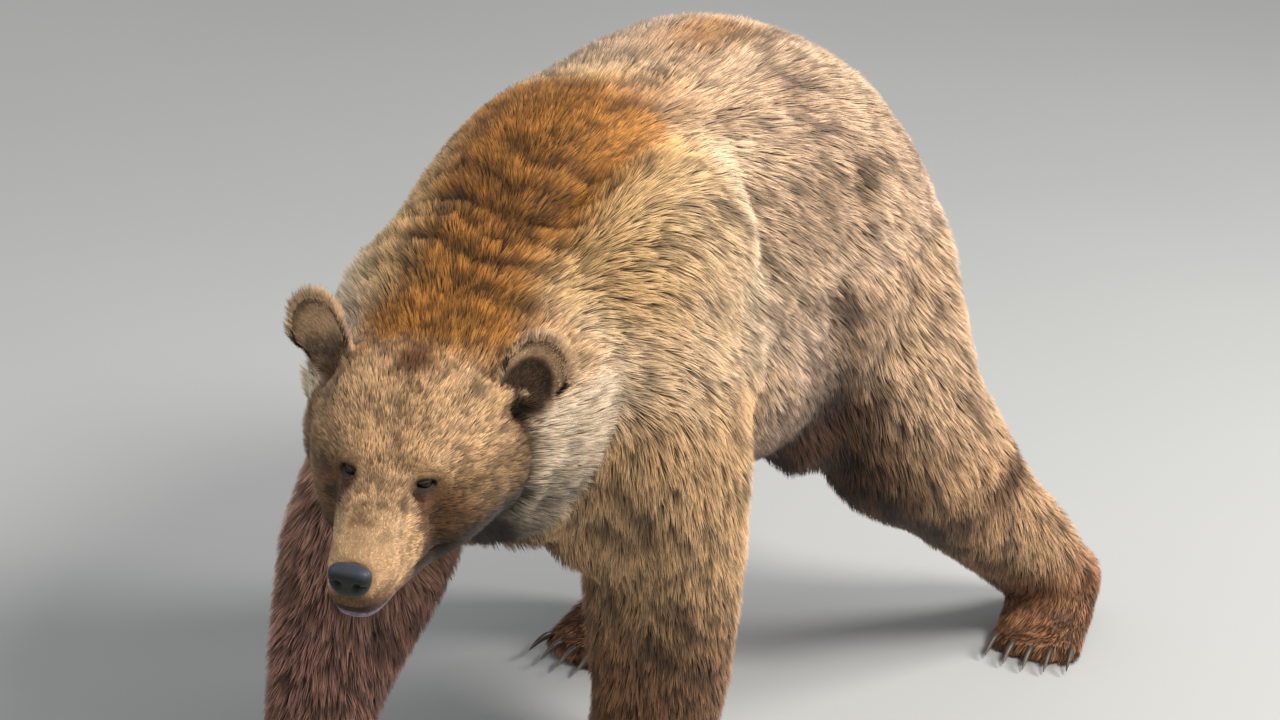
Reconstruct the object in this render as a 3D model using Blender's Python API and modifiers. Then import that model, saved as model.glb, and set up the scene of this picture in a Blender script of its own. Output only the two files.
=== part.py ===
"""A life-size adult brown bear in mid-walk with its head lowered, as named solids.

The bear faces -Y with its left side towards +X and stands on the floor, z = 0. The flesh is one whole
form, lofted and blended from sections, and is then parted with thin cuts. Eyes, nose, ears and claws
are solids of their own. Sizes are metres and go out to the tips of the coat.
"""

import math

import bmesh
import bpy
from mathutils import Euler, Matrix, Vector
from mathutils.bvhtree import BVHTree

# Driving dimensions. y = 0 lies under the top of the shoulder hump until the bear is centred at the end.
HUMP_HEIGHT = 1.00
LOIN_HEIGHT = 1.005
CHEST_FLOOR = 0.40
CHEST_HALF_WIDTH = 0.24
BELLY_HALF_WIDTH = 0.27
RUMP_END = 0.89

HEAD_PLACE = Vector((0.021, -0.333, 0.636))
HEAD_TURN = Euler((math.radians(17.5), math.radians(1), math.radians(15)), "XYZ")
# in the head's own frame, nose towards -Y and the origin inside the skull
EYE_RADIUS = 0.0120
EYE_PLACE = Vector((0.057, -0.150, 0.043))
EYE_LOOK = Vector((0.50, -0.83, 0.22))
EYE_PROUD = 0.50
SOCKET_DEPTH = 0.006
SOCKET_SPREAD = 0.021
EAR_PLACE = Vector((0.1385, 0.021, 0.1125))
EAR_TURN = Euler((math.radians(-14), math.radians(24), math.radians(12)), "XYZ")
EAR_SIZE = (0.050, 0.025, 0.058)
EAR_TAPER = 0.26
EAR_HOLLOW = 1.4
EAR_CURL = 0.35
NOSE_PLACE = Vector((0, -0.282, -0.006))
NOSE_SIZE = (0.026, 0.019, 0.021)

FORE_CLAW = (0.062, 0.0135, 0.016)
HIND_CLAW = (0.042, 0.012, 0.014)

GAP = 0.0004
VOXEL = 0.007
FLESH_FACES = 3600
RING_POINTS = 40
STEPS_PER_STATION = 6

COAT = (0.36, 0.22, 0.11)
COAT_DARK = (0.17, 0.095, 0.05)
COAT_PALE = (0.52, 0.38, 0.24)
HORN = (0.055, 0.04, 0.03)


# ---------------------------------------------------------------- helpers

def clear_scene():
    for obj in list(bpy.data.objects):
        bpy.data.objects.remove(obj, do_unlink=True)


def material(name, colour, roughness=0.85, metallic=0.0):
    made = bpy.data.materials.new(name)
    made.use_nodes = True
    shader = made.node_tree.nodes["Principled BSDF"]
    shader.inputs["Base Color"].default_value = (*colour, 1.0)
    shader.inputs["Roughness"].default_value = roughness
    shader.inputs["Metallic"].default_value = metallic
    return made


def link(obj, collection):
    collection.objects.link(obj)
    return obj


def from_bmesh(name, bm, collection):
    mesh = bpy.data.meshes.new(name)
    bm.to_mesh(mesh)
    bm.free()
    return link(bpy.data.objects.new(name, mesh), collection)


def blend(a, b, c, d, t):
    """Catmull-Rom between b and c."""
    bend = (2 * a - 5 * b + 4 * c - d) * t ** 2 + (3 * b - a - 3 * c + d) * t ** 3
    return 0.5 * (2 * b + (c - a) * t + bend)


def refined(stations):
    """Stations with smooth ones put in between: each is (centre, half_width, up, down, squareness)."""
    rows = [(*s[0], *s[1:]) for s in stations]
    out = []
    for i in range(len(rows) - 1):
        before, after = rows[max(i - 1, 0)], rows[min(i + 2, len(rows) - 1)]
        for step in range(STEPS_PER_STATION):
            t = step / STEPS_PER_STATION
            out.append([blend(*four, t) for four in zip(before, rows[i], rows[i + 1], after)])
    out.append(list(rows[-1]))
    return out


def loft(stations, across=Vector((1, 0, 0)), upright=False):
    """A closed form through cross-sections. A section lies square to the path, or upright across it."""
    rows = refined(stations)
    centres = [Vector(r[:3]) for r in rows]
    bm = bmesh.new()
    rings = []
    for i, (centre, row) in enumerate(zip(centres, rows)):
        ahead = centres[min(i + 1, len(rows) - 1)] - centres[max(i - 1, 0)]
        side = across.normalized()
        if upright:
            top = Vector((0, 0, 1))
        else:
            top = ahead.cross(side).normalized()
            side = top.cross(ahead).normalized()
        half, up, down, square = row[3:]
        power = 2.0 / square
        ring = []
        for k in range(RING_POINTS):
            angle = 2 * math.pi * k / RING_POINTS
            c, s = math.cos(angle), math.sin(angle)
            u = math.copysign(abs(c) ** power, c) * half
            v = math.copysign(abs(s) ** power, s) * (up if s > 0 else down)
            ring.append(bm.verts.new(centre + side * u + top * v))
        rings.append(ring)
    for low, high in zip(rings, rings[1:]):
        for k in range(RING_POINTS):
            n = (k + 1) % RING_POINTS
            bm.faces.new((low[k], low[n], high[n], high[k]))
    bm.faces.new(list(reversed(rings[0])))
    bm.faces.new(rings[-1])
    bmesh.ops.recalc_face_normals(bm, faces=bm.faces)
    return bm


def ball(centre, radii, turn=(0, 0, 0)):
    """An ellipsoid; turn is in degrees about X, Y and Z."""
    bm = bmesh.new()
    spin = Euler([math.radians(a) for a in turn], "XYZ").to_matrix().to_4x4()
    place = Matrix.Translation(centre) @ spin @ Matrix.Diagonal((*radii, 1.0))
    bmesh.ops.create_uvsphere(bm, u_segments=24, v_segments=16, radius=1.0, matrix=place)
    return bm


def mirrored(centre):
    return [(side, Vector((side * centre[0], centre[1], centre[2]))) for side in (1, -1)]


# ---------------------------------------------------------------- flesh, in pieces that are blended later

def trunk_forms():
    """(y, back height, belly height, half width, squareness) from the chest to the rump."""
    profile = [
        (-0.30, 0.75, 0.50, 0.13, 2.0),
        (-0.22, 0.83, 0.45, 0.17, 2.0),
        (-0.12, 0.93, 0.42, 0.20, 2.0),
        (0.00, HUMP_HEIGHT, CHEST_FLOOR, CHEST_HALF_WIDTH, 2.0),
        (0.14, 1.01, 0.40, 0.25, 2.1),
        (0.30, 1.015, 0.395, 0.26, 2.2),
        (0.45, LOIN_HEIGHT, 0.40, BELLY_HALF_WIDTH, 2.2),
        (0.58, 0.955, 0.43, 0.255, 2.2),
        (0.69, 0.87, 0.47, 0.225, 2.15),
        (0.78, 0.775, 0.50, 0.19, 2.05),
        (0.85, 0.71, 0.53, 0.145, 2.0),
        (RUMP_END, 0.65, 0.57, 0.075, 2.0),
    ]
    stations = []
    for y, back, belly, half, square in profile:
        middle = 0.45 * back + 0.55 * belly
        stations.append(((0, y, middle), half, back - middle, middle - belly, square))
    yield loft(stations, upright=True)
    # the shoulder blades rise into the hump
    yield ball((0.13, -0.01, 0.78), (0.125, 0.19, 0.18), (0, 12, 0))
    yield ball((-0.09, -0.01, 0.76), (0.11, 0.17, 0.15), (0, -12, 0))


def neck_forms():
    stations = [
        ((0.02, -0.35, 0.655), 0.11, 0.08, 0.13, 2.0),
        ((0.016, -0.295, 0.668), 0.160, 0.118, 0.16, 2.0),
        ((0.002, -0.22, 0.685), 0.202, 0.172, 0.20, 2.2),
        ((0.0, -0.12, 0.70), 0.21, 0.205, 0.23, 2.1),
        ((0, 0.0, 0.72), 0.205, 0.24, 0.24, 2.0),
    ]
    yield loft(stations, upright=True)


def head_forms():
    """The head in its own frame: nose towards -Y, the origin inside the skull between the ears."""
    profile = [
        (0.13, 0.05, -0.06, 0.09, 2.0),
        (0.09, 0.095, -0.10, 0.135, 2.1),
        (0.03, 0.119, -0.118, 0.141, 2.5),
        (-0.03, 0.119, -0.115, 0.134, 2.4),
        (-0.08, 0.103, -0.107, 0.117, 2.4),
        (-0.115, 0.081, -0.100, 0.099, 2.5),
        (-0.145, 0.056, -0.095, 0.076, 2.7),
        (-0.18, 0.036, -0.091, 0.057, 2.8),
        (-0.21, 0.028, -0.086, 0.048, 2.8),
        (-0.24, 0.021, -0.080, 0.042, 2.7),
        (-0.267, 0.013, -0.073, 0.035, 2.5),
        (-0.287, 0.000, -0.058, 0.025, 2.2),
    ]
    stations = []
    for y, top, bottom, half, square in profile:
        middle = 0.5 * (top + bottom)
        stations.append(((0, y, middle), half, top - middle, middle - bottom, square))
    yield loft(stations, upright=True)
    # jowls, brows and the roots of the ears
    for side, place in mirrored((0.096, 0.036, -0.020)):
        yield ball(place, (0.064, 0.088, 0.100), (0, 0, side * 12))
    for side, place in mirrored((0.040, -0.085, 0.052)):
        yield ball(place, (0.046, 0.052, 0.034), (32, side * 10, 0))
    for side, place in mirrored((0.123, 0.066, 0.002)):
        yield ball(place, (0.056, 0.050, 0.075))


def limb(joints, across=Vector((1, 0, 0))):
    """A leg's length: (place, half width, half depth in front, half depth behind)."""
    return loft([(place, half, front, back, 2.1) for place, half, front, back in joints], across)


def fore_left_forms():
    yield ball((0.085, 0.01, 0.45), (0.07, 0.10, 0.085))
    yield limb([
        ((0.15, -0.03, 0.78), 0.095, 0.15, 0.13),
        ((0.17, -0.035, 0.66), 0.115, 0.155, 0.14),
        ((0.172, 0.015, 0.54), 0.112, 0.14, 0.13),
        ((0.155, 0.08, 0.43), 0.112, 0.125, 0.109),
        ((0.133, 0.13, 0.30), 0.111, 0.108, 0.095),
        ((0.122, 0.163, 0.18), 0.099, 0.095, 0.09),
        ((0.113, 0.17, 0.10), 0.088, 0.088, 0.085),
        ((0.108, 0.16, 0.045), 0.08, 0.08, 0.075),
    ])


def fore_right_forms():
    yield limb([
        ((-0.12, -0.03, 0.76), 0.08, 0.13, 0.12),
        ((-0.145, -0.06, 0.64), 0.095, 0.145, 0.135),
        ((-0.160, -0.075, 0.54), 0.102, 0.14, 0.135),
        ((-0.175, -0.08, 0.44), 0.114, 0.13, 0.135),
        ((-0.190, -0.10, 0.34), 0.118, 0.12, 0.12),
        ((-0.200, -0.13, 0.24), 0.098, 0.10, 0.10),
        ((-0.208, -0.15, 0.14), 0.079, 0.082, 0.08),
        ((-0.21, -0.16, 0.07), 0.071, 0.075, 0.072),
        ((-0.21, -0.17, 0.04), 0.068, 0.07, 0.065),
    ])


def hind_left_forms():
    yield ball((0.15, 0.49, 0.47), (0.08, 0.13, 0.10))
    yield limb([
        ((0.10, 0.64, 0.76), 0.09, 0.13, 0.13),
        ((0.14, 0.63, 0.66), 0.115, 0.18, 0.134),
        ((0.175, 0.63, 0.55), 0.12, 0.188, 0.133),
        ((0.20, 0.665, 0.455), 0.115, 0.187, 0.119),
        ((0.225, 0.765, 0.355), 0.102, 0.143, 0.089),
        ((0.245, 0.870, 0.255), 0.09, 0.109, 0.074),
        ((0.262, 0.975, 0.175), 0.082, 0.096, 0.065),
        ((0.278, 1.035, 0.12), 0.074, 0.08, 0.060),
        ((0.290, 1.085, 0.07), 0.062, 0.066, 0.060),
    ])


def hind_right_forms():
    yield ball((-0.15, 0.49, 0.48), (0.08, 0.12, 0.10))
    yield limb([
        ((-0.12, 0.68, 0.76), 0.10, 0.14, 0.14),
        ((-0.165, 0.66, 0.66), 0.12, 0.18, 0.16),
        ((-0.195, 0.62, 0.55), 0.12, 0.18, 0.14),
        ((-0.205, 0.62, 0.45), 0.11, 0.145, 0.12),
        ((-0.198, 0.65, 0.34), 0.092, 0.11, 0.095),
        ((-0.188, 0.70, 0.24), 0.084, 0.100, 0.083),
        ((-0.172, 0.708, 0.14), 0.080, 0.094, 0.073),
        ((-0.162, 0.70, 0.06), 0.062, 0.066, 0.055),
    ])


def paw_forms(length, width, height):
    """A paw in its own frame: toes towards -Y, the sole on z = 0, the origin under its middle."""
    half = width / 2
    stations = [
        ((0, length * 0.50, height * 0.40), half * 0.45, height * 0.35, height * 0.35, 2.2),
        ((0, length * 0.38, height * 0.46), half * 0.72, height * 0.52, height * 0.46, 2.4),
        ((0, length * 0.10, height * 0.46), half * 0.88, height * 0.54, height * 0.46, 2.5),
        ((0, -length * 0.15, height * 0.40), half, height * 0.42, height * 0.40, 2.6),
        ((0, -length * 0.32, height * 0.33), half * 0.95, height * 0.30, height * 0.33, 2.6),
    ]
    yield loft(stations, upright=True)
    for toe in range(5):
        spread = (toe - 2) / 2
        place = Vector((spread * half * 0.80, -length * (0.40 - 0.07 * spread ** 2), height * 0.27))
        yield ball(place, (half * 0.235, length * 0.13, height * 0.27))


FORE_PAW = (0.18, 0.165, 0.095)
HIND_PAW = (0.27, 0.14, 0.095)

PAWS = {
    "forepaw_left": (FORE_PAW, Vector((0.108, 0.125, -0.003)), 4, 0),
    "forepaw_right": (FORE_PAW, Vector((-0.21, -0.195, -0.003)), -4, 0),
    "hindpaw_left": (HIND_PAW, Vector((0.300, 1.045, 0.004)), 12, 6),
    "hindpaw_right": (HIND_PAW, Vector((-0.166, 0.594, -0.003)), -3, 0),
}


def paw_matrix(name):
    size, place, yaw, lift = PAWS[name]
    turn = Euler((math.radians(lift), 0, math.radians(yaw)), "XYZ").to_matrix().to_4x4()
    return Matrix.Translation(place) @ turn


def head_matrix():
    return Matrix.Translation(HEAD_PLACE) @ HEAD_TURN.to_matrix().to_4x4()


def flesh(collection):
    """Every form of the body as one blended solid, its eye sockets hollowed and its soles flat."""
    whole = bmesh.new()

    def add(forms, matrix=Matrix.Identity(4)):
        for form in forms:
            form.transform(matrix)
            piece = bpy.data.meshes.new("form")
            form.to_mesh(piece)
            form.free()
            whole.from_mesh(piece)
            bpy.data.meshes.remove(piece)

    legs = (fore_left_forms, fore_right_forms, hind_left_forms, hind_right_forms)
    for forms in (trunk_forms, neck_forms, *legs):
        add(forms())
    add(head_forms(), head_matrix())
    for name, (size, *_) in PAWS.items():
        add(paw_forms(*size), paw_matrix(name))
    body = from_bmesh("flesh", whole, collection)
    remesh = body.modifiers.new("blend", "REMESH")
    remesh.mode = "VOXEL"
    remesh.voxel_size = VOXEL
    smooth = body.modifiers.new("smooth", "SMOOTH")
    smooth.factor = 0.5
    smooth.iterations = 10
    settle(body)
    hollow_sockets(body)

    # more facets stay on the face and the paws than on the sides
    keep = body.vertex_groups.new(name="thinned")
    to_head = head_matrix().inverted()
    for v in body.data.vertices:
        at = to_head @ v.co
        near_face = max(0.0, min(1.0, (0.06 - at.y) / 0.10)) if at.z > -0.16 else 0.0
        near_paw = max(0.0, min(1.0, (0.16 - v.co.z) / 0.06))
        keep.add([v.index], 1.0 - max(0.10 * near_face, 0.05 * near_paw), "REPLACE")
    thin = body.modifiers.new("thin", "DECIMATE")
    thin.decimate_type = "COLLAPSE"
    thin.vertex_group = keep.name
    thin.vertex_group_factor = 0.5
    thin.ratio = FLESH_FACES / (2 * len(body.data.polygons))
    settle(body)

    bm = bmesh.new()
    bm.from_mesh(body.data)
    cut_edges = bmesh.ops.bisect_plane(bm, geom=bm.verts[:] + bm.edges[:] + bm.faces[:], plane_co=(0, 0, 0),
                                       plane_no=(0, 0, 1), clear_inner=True)["geom_cut"]
    bmesh.ops.holes_fill(bm, edges=[e for e in cut_edges if isinstance(e, bmesh.types.BMEdge)], sides=0)
    bm.to_mesh(body.data)
    bm.free()
    return body


def hollow_sockets(body):
    """A shallow hollow round each eye, so the eye sits under the brow."""
    to_head = head_matrix().inverted()
    turn = HEAD_TURN.to_matrix()
    for side in (1, -1):
        centre = Vector((side * EYE_PLACE.x, EYE_PLACE.y, EYE_PLACE.z))
        inward = turn @ -Vector((side * EYE_LOOK.x, EYE_LOOK.y, EYE_LOOK.z)).normalized()
        for v in body.data.vertices:
            away = (to_head @ v.co - centre).length / SOCKET_SPREAD
            if away < 3:
                v.co += inward * SOCKET_DEPTH * math.exp(-away ** 2)


# ---------------------------------------------------------------- solids of their own

def eye_form():
    """The eyeball."""
    bm = bmesh.new()
    bmesh.ops.create_uvsphere(bm, u_segments=12, v_segments=8, radius=EYE_RADIUS)
    return bm


def ear_form():
    """A round cupped ear standing on its base, the hollow towards -Y, in its own frame."""
    bm = bmesh.new()
    bmesh.ops.create_uvsphere(bm, u_segments=14, v_segments=10, radius=1.0)
    for v in bm.verts:
        x, y, z = v.co
        wide = 1.0 - EAR_TAPER * max(0.0, -z)
        across = x * wide
        rim = min(1.0, math.hypot(across, z))
        front = y < 0
        y = y * (0.9 if front else 1.0)
        if front:
            y += EAR_HOLLOW * (1.0 - rim ** 2) * (1.0 if z > -0.7 else 0.4)
        y -= EAR_CURL * across ** 2  # the edges curl forward
        v.co = Vector((across * EAR_SIZE[0], y * EAR_SIZE[1], z * EAR_SIZE[2]))
    return bm


def ear_matrix(side):
    turn = EAR_TURN.copy()
    turn.y *= side
    turn.z *= side
    place = Vector((side * EAR_PLACE.x, EAR_PLACE.y, EAR_PLACE.z))
    return head_matrix() @ Matrix.Translation(place) @ turn.to_matrix().to_4x4()


def nose_form():
    """The bare nose: broad above, narrow below, a nostril dented in on each side."""
    bm = bmesh.new()
    bmesh.ops.create_uvsphere(bm, u_segments=14, v_segments=8, radius=1.0)
    for v in bm.verts:
        x, y, z = v.co
        x *= 1.0 + 0.18 * z
        if y < 0:
            y *= 1.0 - 0.15 * abs(x)
            hole = math.exp(-(((abs(x) - 0.48) / 0.20) ** 2 + ((z + 0.10) / 0.24) ** 2))
            y += 0.32 * hole
        v.co = Vector((x * NOSE_SIZE[0], y * NOSE_SIZE[1], z * NOSE_SIZE[2]))
    bm.transform(head_matrix() @ Matrix.Translation(NOSE_PLACE))
    return bm


def claw_form(length, width, depth):
    """A curved claw in its own frame: the root at the origin, pointing to -Y and bending down."""
    stations = [(-0.30, 1.0, 0.0), (0.15, 0.98, 0.02), (0.62, 0.72, -0.12), (1.0, 0.16, -0.38)]
    bm = bmesh.new()
    rings = []
    for along, scale, drop in stations:
        ring = []
        for k in range(5):
            angle = 2 * math.pi * (k + 0.25) / 5
            ring.append(bm.verts.new((math.cos(angle) * width / 2 * scale, -along * length,
                                      drop * length + math.sin(angle) * depth / 2 * scale)))
        rings.append(ring)
    for low, high in zip(rings, rings[1:]):
        for k in range(5):
            n = (k + 1) % 5
            bm.faces.new((low[k], low[n], high[n], high[k]))
    bm.faces.new(list(reversed(rings[0])))
    bm.faces.new(rings[-1])
    bmesh.ops.recalc_face_normals(bm, faces=bm.faces)
    return bm


# ---------------------------------------------------------------- cutting

def settle(obj):
    """Turn an object's modifiers into its own mesh."""
    graph = bpy.context.evaluated_depsgraph_get()
    mesh = bpy.data.meshes.new_from_object(obj.evaluated_get(graph))
    old = obj.data
    obj.modifiers.clear()
    obj.data = mesh
    bpy.data.meshes.remove(old)


def boolean(obj, tool, operation, folded=False):
    """Apply a Boolean; folded is for a tool whose surface may cross itself in a crease."""
    change = obj.modifiers.new(operation, "BOOLEAN")
    change.operation = operation
    change.solver = "EXACT"
    change.use_self = folded
    change.object = tool
    settle(obj)


def copied(obj, name):
    twin = bpy.data.objects.new(name, obj.data.copy())
    obj.users_collection[0].objects.link(twin)
    return twin


def removed(obj):
    mesh = obj.data
    bpy.data.objects.remove(obj, do_unlink=True)
    bpy.data.meshes.remove(mesh)


def grown(obj, by, name="grown"):
    """A copy with its surface moved outward."""
    twin = copied(obj, name)
    bm = bmesh.new()
    bm.from_mesh(twin.data)
    bm.normal_update()
    moves = [(v, v.normal.copy()) for v in bm.verts]
    for v, normal in moves:
        v.co += normal * by
    bm.to_mesh(twin.data)
    bm.free()
    return twin


def tidied(obj):
    """Keep the largest shell, as triangles."""
    bm = bmesh.new()
    bm.from_mesh(obj.data)
    bmesh.ops.dissolve_degenerate(bm, dist=1e-6, edges=bm.edges)
    left, shells = set(bm.faces), []
    while left:
        stack, shell = [left.pop()], []
        while stack:
            face = stack.pop()
            shell.append(face)
            for edge in face.edges:
                for near in edge.link_faces:
                    if near in left:
                        left.discard(near)
                        stack.append(near)
        shells.append(shell)
    shells.sort(key=len)
    for shell in shells[:-1]:
        bmesh.ops.delete(bm, geom=shell, context="FACES")
    bmesh.ops.triangulate(bm, faces=bm.faces)
    bmesh.ops.recalc_face_normals(bm, faces=bm.faces)
    bm.to_mesh(obj.data)
    bm.free()


def box(centre, size, turn, more, collection):
    """An oriented box grown on every side; turn is in degrees about X, Y and Z."""
    bm = bmesh.new()
    bmesh.ops.create_cube(bm, size=1.0)
    spin = Euler([math.radians(a) for a in turn], "XYZ").to_matrix().to_4x4()
    bm.transform(Matrix.Translation(centre) @ spin @ Matrix.Diagonal((*[s + 2 * more for s in size], 1.0)))
    return from_bmesh("cell", bm, collection)


# Each piece of the flesh is what lies in its box once the pieces above it are taken: (centre, size, turn).
CELLS = {
    "forepaw_left": ((0.108, 0.12, 0.03), (0.30, 0.36, 0.15), (0, 0, 0)),
    "forepaw_right": ((-0.21, -0.20, 0.03), (0.30, 0.34, 0.15), (0, 0, 0)),
    "hindpaw_left": ((0.300, 1.03, 0.022), (0.26, 0.42, 0.15), (6, 0, 0)),
    "hindpaw_right": ((-0.18, 0.62, 0.02), (0.26, 0.40, 0.15), (0, 0, 0)),
    "forearm_left": ((0.13, 0.13, 0.24), (0.33, 0.42, 0.30), (0, 0, 0)),
    "forearm_right": ((-0.20, -0.10, 0.24), (0.33, 0.42, 0.30), (0, 0, 0)),
    "shank_left": ((0.25, 0.93, 0.18), (0.34, 0.36, 0.48), (36, 0, 0)),
    "shank_right": ((-0.19, 0.69, 0.20), (0.30, 0.42, 0.30), (14, 0, 0)),
    "upper_foreleg_left": ((0.225, -0.02, 0.52), (0.24, 0.35, 0.29), (0, 12, 0)),
    "upper_foreleg_right": ((-0.225, -0.07, 0.52), (0.24, 0.35, 0.29), (0, -12, 0)),
    "thigh_left": ((0.218, 0.62, 0.452), (0.26, 0.52, 0.56), (0, 12, 0)),
    "thigh_right": ((-0.218, 0.62, 0.452), (0.26, 0.52, 0.56), (0, -12, 0)),
}


TAIL = (
    ((0, 0.84, 0.70), 0.032, 0.026, 0.026, 2.0),
    ((0, 0.90, 0.675), 0.034, 0.026, 0.026, 2.0),
    ((0, 0.94, 0.635), 0.030, 0.022, 0.022, 2.0),
    ((0, 0.955, 0.60), 0.016, 0.012, 0.012, 2.0),
)
TAIL_THINNING = 0.12

# The same for the head's end of the flesh, as boxes in the head's own frame: (centre, size).
HEAD_CELLS = {
    "lower_jaw": ((0, -0.215, -0.117), (0.24, 0.19, 0.13)),
    "head": ((0, -0.11, 0.02), (0.60, 0.42, 0.42)),
    "neck": ((0, 0.175, 0.0), (0.80, 0.149, 0.60)),
}


def set_eyes(body, collection):
    """The eyeballs, let into the face where the line of each gaze meets it."""
    tree = BVHTree.FromObject(body, bpy.context.evaluated_depsgraph_get())
    turn = HEAD_TURN.to_matrix()
    eyes = {}
    for name, side in (("eye_left", 1), ("eye_right", -1)):
        look = turn @ Vector((side * EYE_LOOK.x, EYE_LOOK.y, EYE_LOOK.z)).normalized()
        aim = head_matrix() @ Vector((side * EYE_PLACE.x, EYE_PLACE.y, EYE_PLACE.z))
        hit, *_ = tree.ray_cast(aim + look * 0.1, -look)
        centre = hit - look * EYE_RADIUS * (1 - EYE_PROUD)
        form = eye_form()
        form.transform(Matrix.Translation(centre) @ look.to_track_quat("Z", "Y").to_matrix().to_4x4())
        eyes[name] = from_bmesh(name, form, collection)
    return eyes


def set_ears_and_tail(body, collection):
    """Ears and tail stand on the flesh and are trimmed to it, a gap away."""
    outside = grown(body, GAP)
    made = {"tail": from_bmesh("tail", loft(TAIL), collection)}
    thin = made["tail"].modifiers.new("thin", "DECIMATE")
    thin.ratio = TAIL_THINNING
    settle(made["tail"])
    for name, side in (("ear_left", 1), ("ear_right", -1)):
        ear = ear_form()
        ear.transform(ear_matrix(side))
        made[name] = from_bmesh(name, ear, collection)
    for part in made.values():
        boolean(part, outside, "DIFFERENCE", folded=True)
    removed(outside)
    return made


def set_claws(collection):
    """Five claws to a paw, one at the front of each toe."""
    claws = {}
    for paw, (size, *_) in PAWS.items():
        length, width, height = size
        shape = FORE_CLAW if paw.startswith("fore") else HIND_CLAW
        for toe in range(5):
            spread = (toe - 2) / 2
            root = Vector((spread * width * 0.40, -length * (0.495 - 0.07 * spread ** 2), height * 0.34))
            turn = Euler((math.radians(-4), 0, math.radians(6 * spread)), "XYZ").to_matrix().to_4x4()
            claw = claw_form(*shape)
            claw.transform(paw_matrix(paw) @ Matrix.Translation(root) @ turn)
            name = f"claw_{paw.replace('paw', '')}_{toe + 1}"
            claws[name] = from_bmesh(name, claw, collection)
    return claws


def taken(body, name, centre, size, turn, place, collection):
    """What of the body lies in a box, with the body cut back a gap from it."""
    part = copied(body, name)
    for more, operation, target in ((0, "INTERSECT", part), (GAP, "DIFFERENCE", body)):
        tool = box(centre, size, turn, more, collection)
        tool.data.transform(place)
        boolean(target, tool, operation)
        removed(tool)
    return part


def parted(body, collection):
    """The flesh as its named pieces; what is left is the trunk."""
    pieces = {}
    for name, (centre, size, turn) in CELLS.items():
        pieces[name] = taken(body, name, centre, size, turn, Matrix.Identity(4), collection)
    for name, (centre, size) in HEAD_CELLS.items():
        pieces[name] = taken(body, name, centre, size, (0, 0, 0), head_matrix(), collection)
    body.name = "trunk"
    pieces["trunk"] = body
    return pieces


def centring(parts):
    """The move that puts the bear over the origin, on the floor."""
    points = [v.co for part in parts for v in part.data.vertices]
    low = [min(p[i] for p in points) for i in range(3)]
    high = [max(p[i] for p in points) for i in range(3)]
    return Matrix.Translation((-(low[0] + high[0]) / 2, -(low[1] + high[1]) / 2, -low[2]))


def main():
    clear_scene()
    bear = bpy.data.collections.new("brown_bear")
    bpy.context.scene.collection.children.link(bear)
    body = flesh(bear)
    set_in = set_eyes(body, bear)
    set_in["nose"] = from_bmesh("nose", nose_form(), bear)
    parts = set_ears_and_tail(body, bear)
    set_in.update(set_claws(bear))
    for part in set_in.values():
        socket = grown(part, 1.5 * GAP)
        boolean(body, socket, "DIFFERENCE")
        removed(socket)
    parts.update(set_in)
    parts.update(parted(body, bear))
    for part in parts.values():
        part.vertex_groups.clear()
        tidied(part)
    shift = centring(parts.values())
    for name, part in parts.items():
        part.data.transform(shift)
        part.data.name = name
        part.data.materials.clear()
        part.data.materials.append(material(name, *look_of(name)))


def look_of(name):
    """Colour and roughness of a solid."""
    if name.startswith("eye"):
        return (0.035, 0.018, 0.01), 0.08
    if name.startswith("claw"):
        return HORN, 0.4
    if name == "nose":
        return (0.035, 0.035, 0.042), 0.35
    if "paw" in name or "fore" in name or name.startswith("shank"):
        return COAT_DARK, 0.9
    if name in ("trunk", "tail"):
        return COAT_PALE, 0.9
    return COAT, 0.9


main()
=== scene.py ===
"""The looks of a life-size brown bear in mid-walk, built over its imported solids.

One skin replaces every solid of flesh and lies inside them by the depth of the coat. Tufts of fur stand
on it, joined into one mesh for each part of the body. Eyes, lids, nose, lips and claws are pieces of
their own. The bear faces -Y with its left side towards +X. Sizes are metres.
"""
import math
from itertools import product

import bmesh
import bpy
import numpy as np
from mathutils import Euler, Matrix, Vector
from mathutils.bvhtree import BVHTree
from mathutils.kdtree import KDTree


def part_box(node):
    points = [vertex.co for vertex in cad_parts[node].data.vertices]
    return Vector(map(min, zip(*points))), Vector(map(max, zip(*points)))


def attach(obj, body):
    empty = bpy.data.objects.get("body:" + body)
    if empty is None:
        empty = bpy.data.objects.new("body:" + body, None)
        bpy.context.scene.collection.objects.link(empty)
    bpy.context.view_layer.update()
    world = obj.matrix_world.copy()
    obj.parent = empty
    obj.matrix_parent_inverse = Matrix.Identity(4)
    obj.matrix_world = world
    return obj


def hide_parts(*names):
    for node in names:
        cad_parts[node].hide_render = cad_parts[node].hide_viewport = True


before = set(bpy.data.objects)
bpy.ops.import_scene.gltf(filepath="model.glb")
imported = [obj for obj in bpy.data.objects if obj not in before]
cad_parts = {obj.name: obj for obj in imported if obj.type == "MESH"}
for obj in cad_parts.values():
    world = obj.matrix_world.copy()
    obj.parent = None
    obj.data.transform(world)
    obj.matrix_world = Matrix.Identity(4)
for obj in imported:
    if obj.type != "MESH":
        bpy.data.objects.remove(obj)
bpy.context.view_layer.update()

SIDES = {"left": 1, "right": -1}
HEAD_NODES = ("head", "lower_jaw")
EAR_NODES = ("ear_left", "ear_right")
LEGS = {"foreleg": ("upper_foreleg", "forearm", "forepaw"), "hindleg": ("thigh", "shank", "hindpaw")}
FLESH = (*HEAD_NODES, *EAR_NODES, "neck", "trunk", "tail",
         *(f"{part}_{side}" for parts in LEGS.values() for part in parts for side in SIDES))

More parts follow.
